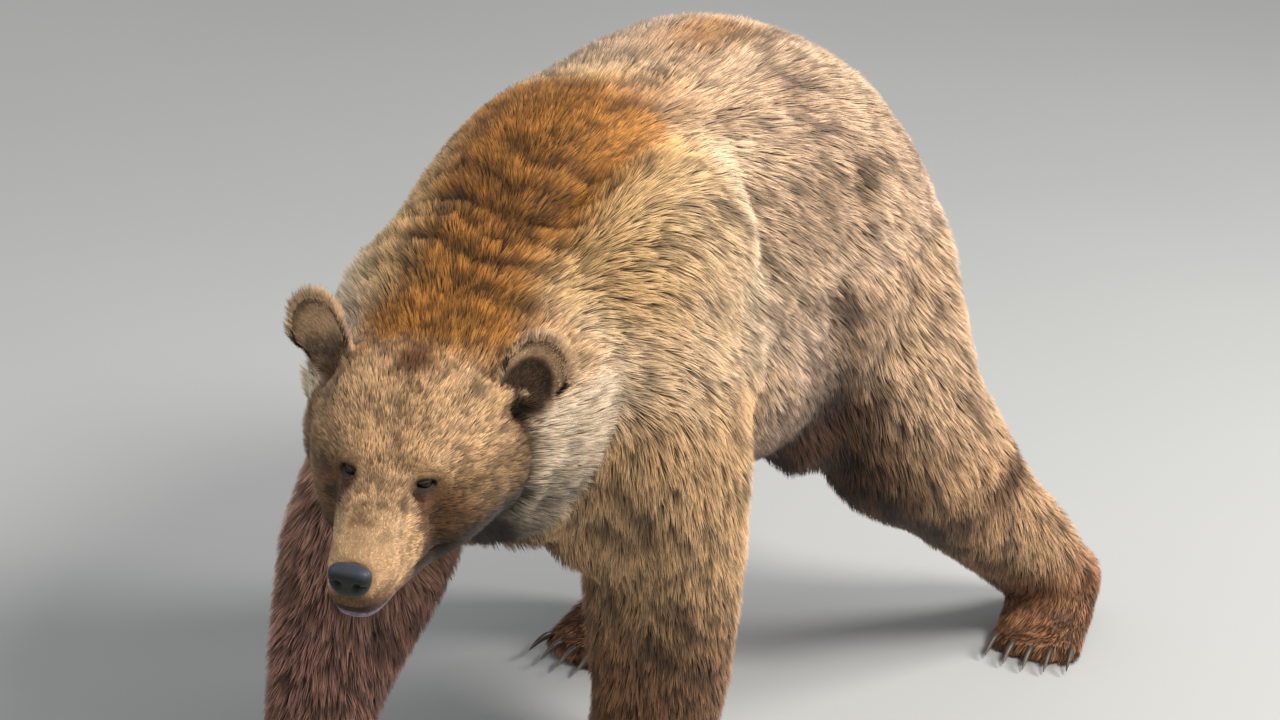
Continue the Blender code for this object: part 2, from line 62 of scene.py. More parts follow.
# places in the head's own frame: x to the bear's left, -y out of the nose
EYES_FRONT = 0.1356
EYES_UP = 0.0392
NOSE_FRONT = 0.2817
NOSE_UP = -0.0061
NOSE_PLACE = np.array((0, -NOSE_FRONT, NOSE_UP))
MOUTH_UP = -0.052
GAZE = Vector((0.50, -0.83, 0.22)).normalized()
EAR_TURN = Euler((math.radians(-14), math.radians(24), math.radians(12)), "XYZ")
EAR_SIZE = np.array((0.050, 0.025, 0.058))
EAR_PLACE = Vector((0.1385, 0.021, 0.1125))

# the eyes: how far behind the middles of their solids they lie, and how much of those they fill
EYE_DEPTH = 0.0062
EYE_SHARE = 0.76
EYEBALL_FIT = 0.995
EYE_ROWS = 28
# what lies further from an eye's middle along its gaze has nothing to do with that eye
EYE_NEAR = 0.03

# the slit between the lids; then how far the lids reach from the eye's middle, how much further sideways,
# their thickness at the rim and beyond it, how they lie over the skin and sink into it, and their crease
SLIT_WIDTH = 0.0104
SLIT_TOP = 0.0030
SLIT_LOW = 0.0040
SLIT_TILT = math.radians(6)
LID_REACH = 0.0190
LID_STRETCH = 1.12
LID_STEPS = (72, 18)
LID_RIM = 0.0002
LID_THICK = 0.0015
LID_LIFT = 0.0004
LID_SINK = 0.0016
CREASE_DEPTH = 0.0012

# the nose, and the part of the face round it that grows no fur
NOSE_SIZE = Vector((0.0262, 0.0200, 0.0212))
NOSE_BARE = np.array((0.029, 0.023, 0.024))

# the lower lip: its line in the head's own frame, and the roll along it
LIP_FRONT = -0.284
LIP_BACK = -0.190
LIP_HALF = 0.050
LIP_UP = -0.0575
LIP_DROP = 0.016
LIP_STEPS = 80
LIP_ROLL_UP = 0.0060
LIP_ROLL_OUT = 0.0044
LIP_SINK = 0.0012

# the claws: how far from the tip they are worn pale, as a share of their length, and how much
WORN_REACH = 0.45
WORN_MOST = 0.6

# the skin: the voxels it is made from, the share of its faces that is kept, and the edges that stay uncut
SKIN_VOXEL = 0.005
KEPT_SHARE = 0.25
FINE_EDGE = 0.0036
# how far the skin stays behind an eyeball, and how far the ears are drawn in from their rims
SOCKET_GAP = 0.002
EAR_RIM_DEPTH = 0.13
# the folds of the nape: from crest to crest, and how high
FOLD_STEP = 0.034
FOLD_HEIGHT = 0.008
# how fine the strands of the face are, round it and along it
GRAIN_ROUND = 60
GRAIN_ALONG = 160

# the body: its middle plane, and the rear edge of the shoulders
BODY_MIDDLE = -0.030
SHOULDER_REAR = -0.165
# the heights that a leg is measured at
LEG_LEVELS = 16

# the camera
AZIMUTH = math.radians(28)
ELEVATION = math.radians(20)
ROLL = math.radians(5)
DISTANCE = 7.0
LENS = 146.25
AIM = Vector((-0.0731, 0.0421, 0.539))


# ---------------------------------------------------------------- numbers and fields

def smooth(low, high, values):
    """0 below low, 1 above high, and an even rise between them."""
    part = np.clip((values - low) / (high - low), 0.0, 1.0)
    return part * part * (3 - 2 * part)


def spot(points, centre, radii):
    """1 at the centre, falling off as a soft ball with the given radii."""
    return np.exp(-(((points - np.array(centre)) / np.array(radii)) ** 2).sum(1))


def twin_spots(points, centre, radii):
    """A soft spot on each side of the middle."""
    x, y, z = centre
    return spot(points, (x, y, z), radii) + spot(points, (-x, y, z), radii)


def from_line(points, line):
    """How far each point lies from a bent line."""
    nearest = np.full(len(points), np.inf)
    for start, end in zip(np.array(line[:-1]), np.array(line[1:])):
        way = end - start
        part = np.clip((points - start) @ way / (way @ way), 0, 1)
        nearest = np.minimum(nearest, np.linalg.norm(points - start - part[:, None] * way, axis=1))
    return nearest


def unit(vectors):
    return vectors / np.maximum(np.linalg.norm(vectors, axis=1, keepdims=True), 1e-9)


def mix(a, b, share):
    """The first value where the share is 0, the second where it is 1."""
    share = np.asarray(share)[:, None] if np.ndim(share) else share
    return a * (1 - share) + b * share


def layered(ground, *layers):
    """A ground value with others laid over it in turn, each with its share at every point."""
    for value, share in layers:
        ground = mix(ground, value, share)
    return ground


# large primes and shifts that scramble a cell's place into a number that looks random
CELL_PRIMES = np.array((73856093, 19349663, 83492791))
SEED_PRIME = 2654435761
SCRAMBLES = ((13, 1274126177), (15, 2246822519))


def mottle(points, size, seed):
    """Soft noise from 0 to 1 with patches of the given size, the same on every run."""
    scaled = points / size
    cell = np.floor(scaled).astype(np.int64)
    part = scaled - cell
    part = part * part * (3 - 2 * part)
    total = np.zeros(len(points))
    for corner in product((0, 1), repeat=3):
        key = (cell + np.array(corner)) * CELL_PRIMES
        mixed = key[:, 0] ^ key[:, 1] ^ key[:, 2] ^ (seed * SEED_PRIME)
        for shift, prime in SCRAMBLES:
            mixed = ((mixed ^ (mixed >> shift)) * prime) & 0xFFFFFFFF
        value = ((mixed >> 8) & 0xFFFF) / 0xFFFF
        weight = np.prod(np.where(np.array(corner, bool), part, 1 - part), axis=1)
        total += value * weight
    return total


def drift(points, size, seed):
    """A soft random vector field, each part from -1 to 1."""
    return np.stack([mottle(points, size, seed + k) for k in range(3)], axis=1) * 2 - 1


def paint(red, green, blue):
    """A display colour, 0 to 255, as the linear light a shader works with."""
    return np.array([(c / 255) ** 2.2 for c in (red, green, blue)])


class Net:
    """The points of a mesh and their neighbours along its edges."""

    def __init__(self, mesh):
        self.size = len(mesh.vertices)
        ends = np.empty(len(mesh.edges) * 2, np.int64)
        mesh.edges.foreach_get("vertices", ends)
        first, second = ends.reshape(-1, 2).T
        self.here = np.concatenate((first, second))
        self.there = np.concatenate((second, first))
        self.count = np.maximum(np.bincount(self.here, minlength=self.size), 1)

    def relaxed(self, values, rounds, share=0.5):
        """The values after each point has moved towards its neighbours' mean for some rounds."""
        flat = np.array(values, float).reshape(self.size, -1)
        share = np.broadcast_to(share, self.size)[:, None]
        for _ in range(rounds):
            sums = [np.bincount(self.here, flat[self.there, k], self.size) for k in range(flat.shape[1])]
            flat += (np.stack(sums, 1) / self.count[:, None] - flat) * share
        return flat.reshape(np.shape(values))


def places_of(mesh):
    places = np.empty(len(mesh.vertices) * 3)
    mesh.vertices.foreach_get("co", places)
    return places.reshape(-1, 3)


def normals_of(mesh):
    normals = np.empty(len(mesh.vertices) * 3)
    mesh.vertex_normals.foreach_get("vector", normals)
    return normals.reshape(-1, 3)


def triangles_of(mesh):
    mesh.calc_loop_triangles()
    corners = np.empty(len(mesh.loop_triangles) * 3, np.int64)
    mesh.loop_triangles.foreach_get("vertices", corners)
    return corners.reshape(-1, 3)


def keep_attribute(mesh, name, kind, values):
    """A value at each point that a material can read by name."""
    field = {"FLOAT": "value", "FLOAT_VECTOR": "vector", "FLOAT_COLOR": "color"}[kind]
    made = mesh.attributes.new(name, kind, "POINT")
    made.data.foreach_set(field, np.ascontiguousarray(values, np.float32).ravel())


def keep_colour(mesh, pelt):
    keep_attribute(mesh, "pelt", "FLOAT_COLOR", np.c_[pelt, np.ones(len(pelt))])


# ---------------------------------------------------------------- frames on the bear

def middle(node):
    low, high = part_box(node)
    return (low + high) / 2


def head_frame():
    """The head's own frame, from the places of the eyes and the nose."""
    left, right, nose = middle("eye_left"), middle("eye_right"), middle("nose")
    between = (left + right) / 2
    across = (left - right).normalized()
    forward = nose - between
    forward = (forward - across * forward.dot(across)).normalized()
    drop = math.atan2(EYES_UP - NOSE_UP, NOSE_FRONT - EYES_FRONT)
    beside = across.cross(forward)
    back = -forward * math.cos(drop) + beside * math.sin(drop)
    up = -forward * math.sin(drop) - beside * math.cos(drop)
    origin = between + back * EYES_FRONT - up * EYES_UP
    turn = Matrix((across, back, up)).transposed().to_4x4()
    return Matrix.Translation(origin) @ turn


HEAD = head_frame()
TRUNK_LOW, TRUNK_HIGH = (np.array(corner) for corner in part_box("trunk"))


def ear_frame(side):
    """An ear's own frame: z to its tip, -y out of its hollow. Its rim lies one EAR_SIZE from the middle."""
    turn = EAR_TURN.copy()
    turn.y *= SIDES[side]
    turn.z *= SIDES[side]
    place = Vector((EAR_PLACE.x * SIDES[side], EAR_PLACE.y, EAR_PLACE.z))
    return HEAD @ Matrix.Translation(place) @ turn.to_matrix().to_4x4()


EARS = {side: ear_frame(side) for side in SIDES}


def seen_from(matrix, points):
    """World points in the frame of a matrix."""
    inverse = np.array(matrix.inverted())
    return points @ inverse[:3, :3].T + inverse[:3, 3]


def turned(matrix, vectors):
    """Directions of a matrix's frame in the world."""
    return vectors @ np.array(matrix.to_3x3()).T


def gaze_frame(side):
    """A frame at an eye's middle: z along its gaze, x along the slit of the lids towards the ear."""
    sign = SIDES[side]
    look = Vector((GAZE.x * sign, GAZE.y, GAZE.z))
    up = Vector((0, 0, 1))
    up = (up - look * up.dot(look)).normalized()
    outward = up.cross(look) * sign
    slit = outward * math.cos(SLIT_TILT) + up * math.sin(SLIT_TILT)
    upright = look.cross(slit) * sign
    turn = (HEAD.to_3x3() @ Matrix((slit, upright, look)).transposed()).to_4x4()
    return Matrix.Translation(middle(f"eye_{side}")) @ turn @ Matrix.Translation((0, 0, -EYE_DEPTH))


EYES = {side: gaze_frame(side) for side in SIDES}


def eye_radius(side):
    low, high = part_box(f"eye_{side}")
    return EYE_SHARE * max(high - low) / 2


# ---------------------------------------------------------------- pieces and materials

def shown(name, data):
    """A new object of the scene."""
    obj = bpy.data.objects.new(name, data)
    bpy.context.scene.collection.objects.link(obj)
    return obj


def piece(name, mesh, material):
    """A shown piece of the bear: it rides on the one body and takes its finish from a slot."""
    obj = shown(name, mesh)
    mesh.materials.clear()
    mesh.materials.append(material)
    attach(obj, "root")
    return obj


def mesh_from(bm, name):
    for face in bm.faces:
        face.smooth = True
    mesh = bpy.data.meshes.new(name)
    bm.to_mesh(mesh)
    bm.free()
    return mesh


class Shader:
    """A material's nodes, made and joined by short calls."""

    def __init__(self, name, **settings):
        self.material = bpy.data.materials.new(name)
        self.material.use_nodes = True
        self.tree = self.material.node_tree
        self.surface = self.tree.nodes["Principled BSDF"]
        for socket, value in settings.items():
            self.surface.inputs[socket.replace("_", " ")].default_value = value

    def node(self, kind, inputs=(), **settings):
        made = self.tree.nodes.new(kind)
        for name, value in settings.items():
            setattr(made, name, value)
        for socket, value in dict(inputs).items():
            if isinstance(value, bpy.types.NodeSocket):
                self.tree.links.new(value, made.inputs[socket])
            else:
                made.inputs[socket].default_value = value
        return made

    def attribute(self, name, output="Fac"):
        return self.node("ShaderNodeAttribute", attribute_name=name).outputs[output]

    def noise(self, where, scale, detail=3.0, rough=0.55):
        inputs = {"Vector": where, "Scale": scale, "Detail": detail, "Roughness": rough}
        return self.node("ShaderNodeTexNoise", inputs).outputs["Fac"]

    def place(self):
        return self.node("ShaderNodeTexCoord").outputs["Object"]

    def ranged(self, value, low, high, to_low, to_high):
        inputs = {"Value": value, "From Min": low, "From Max": high, "To Min": to_low, "To Max": to_high}
        return self.node("ShaderNodeMapRange", inputs).outputs["Result"]

    def product(self, first, second):
        return self.node("ShaderNodeMath", {0: first, 1: second}, operation="MULTIPLY").outputs[0]

    def blend(self, share, first, second):
        """The first colour where the share is 0, the second where it is 1."""
        made = self.node("ShaderNodeMix", data_type="RGBA")
        for socket, value in (("Factor", share), ("A", first), ("B", second)):
            target = [s for s in made.inputs if s.name == socket and s.enabled][0]
            if isinstance(value, bpy.types.NodeSocket):
                self.tree.links.new(value, target)
            else:
                target.default_value = value
        return [s for s in made.outputs if s.enabled][0]

    def times(self, vector, factor):
        """A colour or a place multiplied by a factor."""
        return self.node("ShaderNodeVectorMath", {0: vector, 1: factor}, operation="MULTIPLY").outputs[0]

    def bump(self, height, strength, distance):
        inputs = {"Height": height, "Strength": strength, "Distance": distance}
        self.into("Normal", self.node("ShaderNodeBump", inputs).outputs["Normal"])

    def into(self, socket, output):
        self.tree.links.new(output, self.surface.inputs[socket])


def fur_material(name):
    """Hair in tufts: dark at the root, partly as painted shade deep in the coat, pale at the tip, with fine
    strands along each tuft.
    """
    made = Shader(name, Roughness=0.6, Sheen_Weight=0.08, Sheen_Roughness=0.5, Specular_IOR_Level=0.25)
    strand = made.node("ShaderNodeUVMap", uv_map="strand").outputs["UV"]
    parts = made.node("ShaderNodeSeparateXYZ", {"Vector": strand}).outputs
    # painted shade: the root end darker than the tip, partly the hair's own dark base and partly the shade
    # deep in the coat
    along = made.ranged(parts["Y"], 0.10, 0.85, 0.22, 1.25)
    lines = made.noise(made.times(strand, (9.0, 0.7, 1.0)), 1.0, 2.0)
    lines = made.ranged(lines, 0.3, 0.7, 0.84, 1.14)
    patches = made.ranged(made.noise(made.place(), 26.0, 4.0), 0.3, 0.7, 0.93, 1.07)
    factor = made.product(made.product(along, lines), patches)
    made.into("Base Color", made.times(made.attribute("pelt", "Color"), factor))
    return made.material


def skin_material(name):
    """Hide under the fur: the coat's own colours in streaks along the hair, darker under long hair as
    painted shade deep in the coat, and bare, dark and creased underfoot and round the eyes."""
    made = Shader(name, Roughness=0.7, Specular_IOR_Level=0.25)
    place = made.place()
    hair = made.noise(made.attribute("grain", "Vector"), 1.0, 4.0, 0.6)
    patches = made.ranged(made.noise(place, 40.0, 4.0), 0.3, 0.7, 0.86, 1.08)
    streaks = made.ranged(hair, 0.3, 0.7, 0.70, 1.15)
    # painted shade: the skin darker where the hair over it is long
    depth = made.ranged(made.attribute("cover"), 0.006, 0.016, 0.80, 0.22)
    factor = made.product(made.product(patches, streaks), depth)
    coat = made.times(made.attribute("pelt", "Color"), factor)
    hide = made.blend(made.noise(place, 130.0, 3.0), (0.022, 0.017, 0.014, 1), (0.06, 0.048, 0.04, 1))
    made.into("Base Color", made.blend(made.attribute("bare"), coat, hide))
    made.bump(hair, 0.5, 0.0012)
    return made.material


def nose_material(name):
    """Moist pebbled nose leather, nearly black, with a painted blue-grey sheen on top."""
    made = Shader(name, Roughness=0.44, Specular_IOR_Level=0.35, Coat_Weight=0.10, Coat_Roughness=0.3)
    place = made.place()
    pebbles = made.node("ShaderNodeTexVoronoi", {"Vector": place, "Scale": 620.0}).outputs["Distance"]
    grey = made.blend(made.noise(place, 90.0), (0.004, 0.0035, 0.0035, 1), (0.010, 0.009, 0.009, 1))
    # painted sheen: a blue-grey reflection on the top of the nose, laid into its colour
    top = made.blend(made.attribute("top"), grey, (0.034, 0.038, 0.050, 1))
    made.into("Base Color", made.blend(made.attribute("hollow"), top, (0.006, 0.005, 0.005, 1)))
    made.into("Roughness", made.ranged(pebbles, 0.0, 0.6, 0.38, 0.58))
    made.bump(pebbles, 0.55, 0.0006)
    return made.material


def lip_material(name):
    """The bare lip: smooth, moist, purple grey."""
    made = Shader(name, Roughness=0.34, Specular_IOR_Level=0.55, Coat_Weight=0.3, Coat_Roughness=0.25)
    place = made.place()
    blush = made.ranged(made.noise(place, 120.0, 4.0), 0.3, 0.7, 0.0, 1.0)
    made.into("Base Color", made.blend(blush, (0.075, 0.045, 0.085, 1), (0.19, 0.13, 0.23, 1)))
    made.bump(made.noise(place, 420.0, 3.0), 0.35, 0.0006)
    return made.material


def eye_material(name):
    """A dark brown eye: black pupil, streaked brown iris, dim white at the very edge, wet all over."""
    made = Shader(name, Roughness=0.16, Specular_IOR_Level=0.25, Coat_Weight=0.20, Coat_Roughness=0.03)
    place = made.place()
    streaks = made.noise(place, 700.0, 4.0)
    iris = made.blend(streaks, (0.014, 0.007, 0.004, 1), (0.050, 0.024, 0.011, 1))
    ring = made.attribute("from_pupil")
    white = made.blend(streaks, (0.03, 0.018, 0.013, 1), (0.07, 0.05, 0.04, 1))
    colour = made.blend(made.ranged(ring, 0.30, 0.36, 0.0, 1.0), (0.004, 0.003, 0.003, 1), iris)
    colour = made.blend(made.ranged(ring, 0.90, 1.02, 0.0, 1.0), colour, white)
    made.into("Base Color", colour)
    return made.material


def claw_material(name):
    """Horn: dark at the root, streaked along the claw, worn paler at the tip."""
    made = Shader(name, Roughness=0.40, Specular_IOR_Level=0.5)
    streaks = made.noise(made.times(made.place(), (900.0, 120.0, 500.0)), 1.0, 3.0)
    horn = made.blend(streaks, (0.022, 0.016, 0.012, 1), (0.085, 0.064, 0.046, 1))
    made.into("Base Color", made.blend(made.attribute("worn"), horn, (0.22, 0.18, 0.13, 1)))
    made.into("Roughness", made.ranged(streaks, 0.2, 0.8, 0.34, 0.52))
    made.bump(streaks, 0.35, 0.0005)
    return made.material


# ---------------------------------------------------------------- the markings of the coat

GOLDEN = paint(218, 174, 114)
FACE = paint(204, 161, 117)
BROW = paint(204, 164, 120)
CHEEK = paint(140, 110, 78)
# painted shade low on the cheeks and along the jaw
LOW_CHEEK_SHADE = paint(72, 49, 28)
MUZZLE = paint(200, 160, 118)
# brown of the muzzle's mottled patches, and painted shade in the hollow behind the muzzle
MUZZLE_SHADE_AND_MOTTLE = paint(112, 80, 54)
# dark fur round the eyes, and painted shade in the folds and under the jaw
DARK_FUR_AND_SHADE = paint(60, 42, 32)
PEAK = paint(112, 64, 26)
NAPE = paint(174, 116, 54)
HUMP_CORE = paint(104, 66, 32)
RUFF = paint(246, 220, 188)
CREAM = paint(240, 196, 150)
# dark hair of the ear's hollow, deepened with painted shade
EAR_DARK_AND_SHADE = paint(44, 29, 20)
EAR_HAIR = paint(184, 140, 94)
SHOULDER = paint(212, 178, 140)
BACK = paint(202, 168, 136)
RUMP = paint(184, 152, 132)
FLANK = paint(226, 192, 164)
SHADE = paint(110, 77, 52)
# painted shade for hollows and crevices
HOLLOW_SHADE = paint(74, 50, 35)
# pale hair of the rump with painted light along its top
PALE_RUMP_AND_LIGHT = paint(244, 218, 188)
THIGH = paint(228, 188, 150)
SHANK = paint(224, 176, 132)
FORELEG = paint(154, 112, 82)
FAR_LEG = paint(160, 117, 102)
UPPER_LEG = paint(238, 190, 138)
PAW = paint(122, 86, 66)
HIND_FOOT = paint(168, 118, 84)
NECK_SIDE = paint(250, 206, 150)


def trunk_share(points):
    """Along the trunk from 0 at the chest to 1 at the rump, and up it from 0 to 1."""
    share = (points - TRUNK_LOW) / (TRUNK_HIGH - TRUNK_LOW)
    return share[:, 1], share[:, 2]


# the hollow between flank and thigh on the left side, from the back down to the knee
THIGH_HOLLOW = ((0.20, 0.110, 0.84), (0.21, 0.050, 0.78), (0.22, 0.035, 0.70), (0.21, 0.065, 0.60),
                (0.19, 0.130, 0.50), (0.19, 0.190, 0.42))


def thigh_hollow(points):
    """1 along the hollow in front of each thigh, wider lower down."""
    folded = np.stack((0.5 * abs(points[:, 0] - BODY_MIDDLE), points[:, 1], points[:, 2]), 1)
    line = [(0.5 * (x - BODY_MIDDLE), y, z) for x, y, z in THIGH_HOLLOW]
    width = 0.022 + 0.045 * smooth(0.80, 0.55, points[:, 2])
    return np.exp(-(from_line(folded, line) / width) ** 2)


def behind_shoulder(points):
    """1 on the rear edge of the shoulders, and 1 in the hollow behind them."""
    aside = smooth(0.07, 0.17, abs(points[:, 0] - BODY_MIDDLE)) * smooth(0.45, 0.58, points[:, 2])
    y = points[:, 1] - SHOULDER_REAR
    return aside * np.exp(-((y + 0.022) / 0.030) ** 2), aside * np.exp(-((y - 0.040) / 0.026) ** 2)


def nape_share(points):
    """1 on the golden nape and hump, where the hair is short and stands in folds."""
    aside = abs(points[:, 0] - BODY_MIDDLE + drift(points, 0.09, 5)[:, 0] * 0.02)
    wide = 0.185 + 0.045 * smooth(-0.50, -0.35, points[:, 1])
    along = smooth(-0.17, -0.27, points[:, 1] + drift(points, 0.07, 6)[:, 0] * 0.03)
    return smooth(wide, wide - 0.170, aside) * along * smooth(0.70, 0.80, points[:, 2])


# the edge of the pale muzzle against the cheek: how high and how far back, in the head's own frame
MUZZLE_EDGE = ((-0.075, -0.205), (-0.061, -0.196), (-0.028, -0.179), (0.015, -0.173), (0.040, -0.156),
               (0.058, -0.141))


def muzzle_share(head):
    """1 on the pale muzzle, 0 on the cheeks and the brow."""
    x, y, z = head.T
    edge = np.interp(z, [p[0] for p in MUZZLE_EDGE], [p[1] for p in MUZZLE_EDGE])
    return smooth(0.004, -0.006, y - edge) * smooth(0.064, 0.056, abs(x))


# the fold between cheek and ruff, on the left side of the head's own frame
CHEEK_FOLD = ((0.130, -0.002, 0.062), (0.137, -0.005, 0.047), (0.147, -0.010, 0.023),
              (0.150, -0.014, -0.002), (0.146, -0.024, -0.028), (0.136, -0.030, -0.053),
              (0.120, -0.032, -0.074), (0.098, -0.045, -0.095), (0.070, -0.095, -0.100))


def cheek_fold(head):
    """1 in the fold, falling off to both sides, and how far a point lies behind it."""
    folded = np.stack((abs(head[:, 0]), head[:, 1], head[:, 2]), 1)
    fold = np.exp(-(from_line(folded, CHEEK_FOLD) / 0.010) ** 2)
    rising = CHEEK_FOLD[::-1]
    front = np.interp(folded[:, 2], [p[2] for p in rising], [p[1] for p in rising])
    return fold * smooth(-0.05, 0.05, head[:, 0]), folded[:, 1] - front


def head_pelt(points):
    """The colours of the head: pale muzzle and brow, dark cheeks, and the light ruff behind their fold, with
    painted shade in the folds, the hollows and under the jaw.
    """
    head = seen_from(HEAD, points)
    x, y, z = head.T
    wide = abs(x)
    muzzle = muzzle_share(head)
    patch = mottle(points, 0.020, 53) * smooth(-0.235, -0.215, y) * smooth(0.055, 0.035, wide)
    fold, behind = cheek_fold(head + np.array((0, 0.007, 0)))
    ruff = smooth(0.004, 0.016, behind) * smooth(0.095, 0.115, wide) * smooth(0.10, 0.05, z)
    furrow = np.exp(-((x + 0.006) / 0.006) ** 2) * smooth(-0.12, -0.08, y) * smooth(0.05, 0.02, y)
    furrow = furrow * smooth(0.05, 0.07, z)
    colour = layered(
        FACE,
        (BROW, smooth(-0.10, -0.04, y) * smooth(0.02, 0.07, z) * smooth(0.02, 0.05, wide) * 0.7),
        (NAPE, smooth(-0.012, 0.060, y) * smooth(0.03, 0.10, z) * smooth(0.15, 0.07, wide)),
        (PEAK, 0.90 * spot(head, (-0.008, -0.006, 0.118), (0.030, 0.034, 0.050))),
        (CHEEK, smooth(0.085, 0.020, z) * smooth(0.040, 0.070, wide)),
        # painted shade in the hollow between the muzzle and the cheek
        (MUZZLE_SHADE_AND_MOTTLE, smooth(0.026, 0.040, wide) * smooth(-0.100, -0.138, y) * smooth(0.052, 0.030, z)),
        (MUZZLE, muzzle * smooth(-0.070, -0.040, z)),
        (MUZZLE_SHADE_AND_MOTTLE, 0.55 * muzzle * smooth(0.50, 0.75, patch)),
        # painted shade low on the cheeks and along the jaw
        (LOW_CHEEK_SHADE, smooth(-0.005, -0.050, z) * smooth(0.040, 0.060, wide) * (1 - muzzle)),
        (RUFF, ruff * (0.75 + 0.25 * smooth(0.3, 0.6, mottle(points, 0.016, 61)))),
        # painted shade in the fold between cheek and ruff
        (DARK_FUR_AND_SHADE, 0.95 * fold * smooth(-0.10, -0.05, y)))
    # round each eye a darker ring, nearly black at the slit: the dark lids and fur there, deepened with
    # painted shade from the brow
    for matrix in EYES.values():
        aside, upward, ahead = seen_from(matrix, points).T
        ring = np.hypot((aside + 0.003) / 1.75, upward)
        near = abs(ahead) < EYE_NEAR
        colour = layered(colour, (LOW_CHEEK_SHADE, 0.60 * smooth(0.0170, 0.0080, ring) * near),
                         (DARK_FUR_AND_SHADE, 0.95 * smooth(0.0105, 0.0065, ring) * near))
    return layered(
        colour,
        (DARK_FUR_AND_SHADE, 0.60 * twin_spots(head, (0.040, -0.158, 0.022), (0.009, 0.016, 0.012))),
        # painted shade in the furrow between the eyes
        (DARK_FUR_AND_SHADE, 0.40 * furrow),
        (MUZZLE_SHADE_AND_MOTTLE, 0.85 * smooth(-0.018, -0.032, z) * smooth(-0.22, -0.26, y)),
        # painted shade under the jaw
        (DARK_FUR_AND_SHADE, 0.60 * smooth(-0.045, -0.070, z) * smooth(-0.10, -0.18, y)),
        # painted shade in the hollow before the base of each ear
        (EAR_DARK_AND_SHADE, 0.85 * twin_spots(head, (0.134, -0.008, 0.072), (0.022, 0.018, 0.026))))


def ear_hollow(points, side):
    """1 inside the hollow of an ear, 0 on its rim and its back."""
    x, y, z = (seen_from(EARS[side], points) / EAR_SIZE).T
    return smooth(0.80, 0.55, np.hypot(x, z)) * smooth(0.72, 0.56, y)


def ear_pelt(points, side):
    """Cream along the rim, nearly black in the hollow, where dark hair is deepened with painted shade, with
    tan hair across its upper part.
    """
    x, y, z = (seen_from(EARS[side], points) / EAR_SIZE).T
    outward = x * SIDES[side]
    low = smooth(-0.35, -0.62, z) * smooth(0.95, 0.70, abs(x)) * smooth(0.40, 0.10, outward)
    # the dark of the hollow: dark hair with painted shade, strongest low in it; on the right ear only its
    # lower part
    dark = np.maximum(smooth(0.72, 0.50, np.hypot(outward + 0.02, 0.95 * z + 0.34)), low)
    dark = dark * smooth(0.72, 0.56, y) * (1.0 if side == "left" else 0.8 * smooth(0.10, -0.35, z))
    hair = 0.7 * dark * smooth(0.10, 0.40, z)
    return layered(CREAM, (GOLDEN, smooth(0.55, 0.85, y) * 0.8), (EAR_DARK_AND_SHADE, 0.95 * dark),
                   (EAR_HAIR, hair * smooth(0.35, 0.60, mottle(points, 0.010, 67))))


def body_pelt(points):
    """The colours of neck and trunk, from how far along and up the body they lie, with painted shade in the
    hollows and low down, and painted light on the shoulders' rear edge and the top of the rump.
    """
    along, height = trunk_share(points + drift(points, 0.11, 5) * 0.03)
    side, y, z = abs(points[:, 0] - BODY_MIDDLE), points[:, 1], points[:, 2]
    golden = nape_share(points)
    mantle = smooth(0.30, 0.12, side) * smooth(-0.12, -0.24, y) * smooth(0.74, 0.86, z)
    core = smooth(0.10, 0.03, side) * smooth(-0.28, -0.36, y) * smooth(0.80, 0.88, z)
    midline = smooth(0.07, 0.02, side) * smooth(0.36, 0.46, along) * smooth(0.90, 0.75, along)
    haunch = np.exp(-((y - 0.02 - 0.15 * (side - 0.10)) / 0.050) ** 2) * smooth(0.05, 0.12, side)
    streaks = smooth(0.35, 0.65, mottle(points, 0.025, 73))
    edge, behind = behind_shoulder(points)
    crevice = spot(points, (0.23, -0.28, 0.70), (0.05, 0.06, 0.045))
    chest = smooth(0.02, -0.06, y - TRUNK_LOW[1])
    return layered(
        SHOULDER,
        (BACK, smooth(0.24, 0.36, along) * smooth(0.45, 0.70, height)),
        (FLANK, smooth(0.24, 0.36, along) * smooth(0.70, 0.45, height)),
        (RUMP, smooth(0.62, 0.85, along) * smooth(0.35, 0.70, height)),
        # the top of the rump paler: pale hair with painted light along its edge
        (PALE_RUMP_AND_LIGHT, 0.80 * smooth(0.80, 0.93, along) * smooth(0.4, 0.6, height)),
        (NECK_SIDE, 0.8 * smooth(-0.34, -0.42, y) * smooth(0.74, 0.80, z)),
        (GOLDEN, np.maximum(golden, 0.7 * mantle)),
        (NAPE, smooth(0.30, 0.85, golden)),
        (HUMP_CORE, 0.50 * core * smooth(0.3, 0.7, mottle(points, 0.035, 3))),
        (NAPE, 0.8 * midline * smooth(0.8, 0.95, height) * smooth(0.30, 0.65, mottle(points, 0.07, 8))),
        (SHADE, 0.95 * haunch * smooth(0.82, 0.90, z) * streaks),
        # painted highlight along the rear edge of the shoulders
        (RUFF, 0.60 * edge),
        (SHADE, 0.45 * behind * (0.4 + 0.6 * streaks)),
        # painted shade in the crevices of the shoulder's coat
        (HOLLOW_SHADE, 0.7 * crevice * smooth(0.45, 0.65, mottle(points, 0.018, 79))),
        # painted shade in the hollow before the thigh
        (HOLLOW_SHADE, 0.85 * thigh_hollow(points)),
        (SHADE, 0.75 * smooth(0.40, 0.05, height)),
        (RUFF, chest * smooth(0.10, 0.16, side) * smooth(0.75, 0.50, height)))


def behind_front(points):
    """How far each point of a leg lies behind the leg's front edge at its own height."""
    steps = np.linspace(points[:, 2].min(), points[:, 2].max(), LEG_LEVELS)
    level = np.clip(np.searchsorted(steps, points[:, 2]), 1, LEG_LEVELS - 1)
    front = points[:, 1].min()
    edge = [points[level == k, 1].min() if (level == k).any() else front for k in range(1, LEG_LEVELS)]
    return points[:, 1] - np.interp(points[:, 2], (steps[1:] + steps[:-1]) / 2, edge)


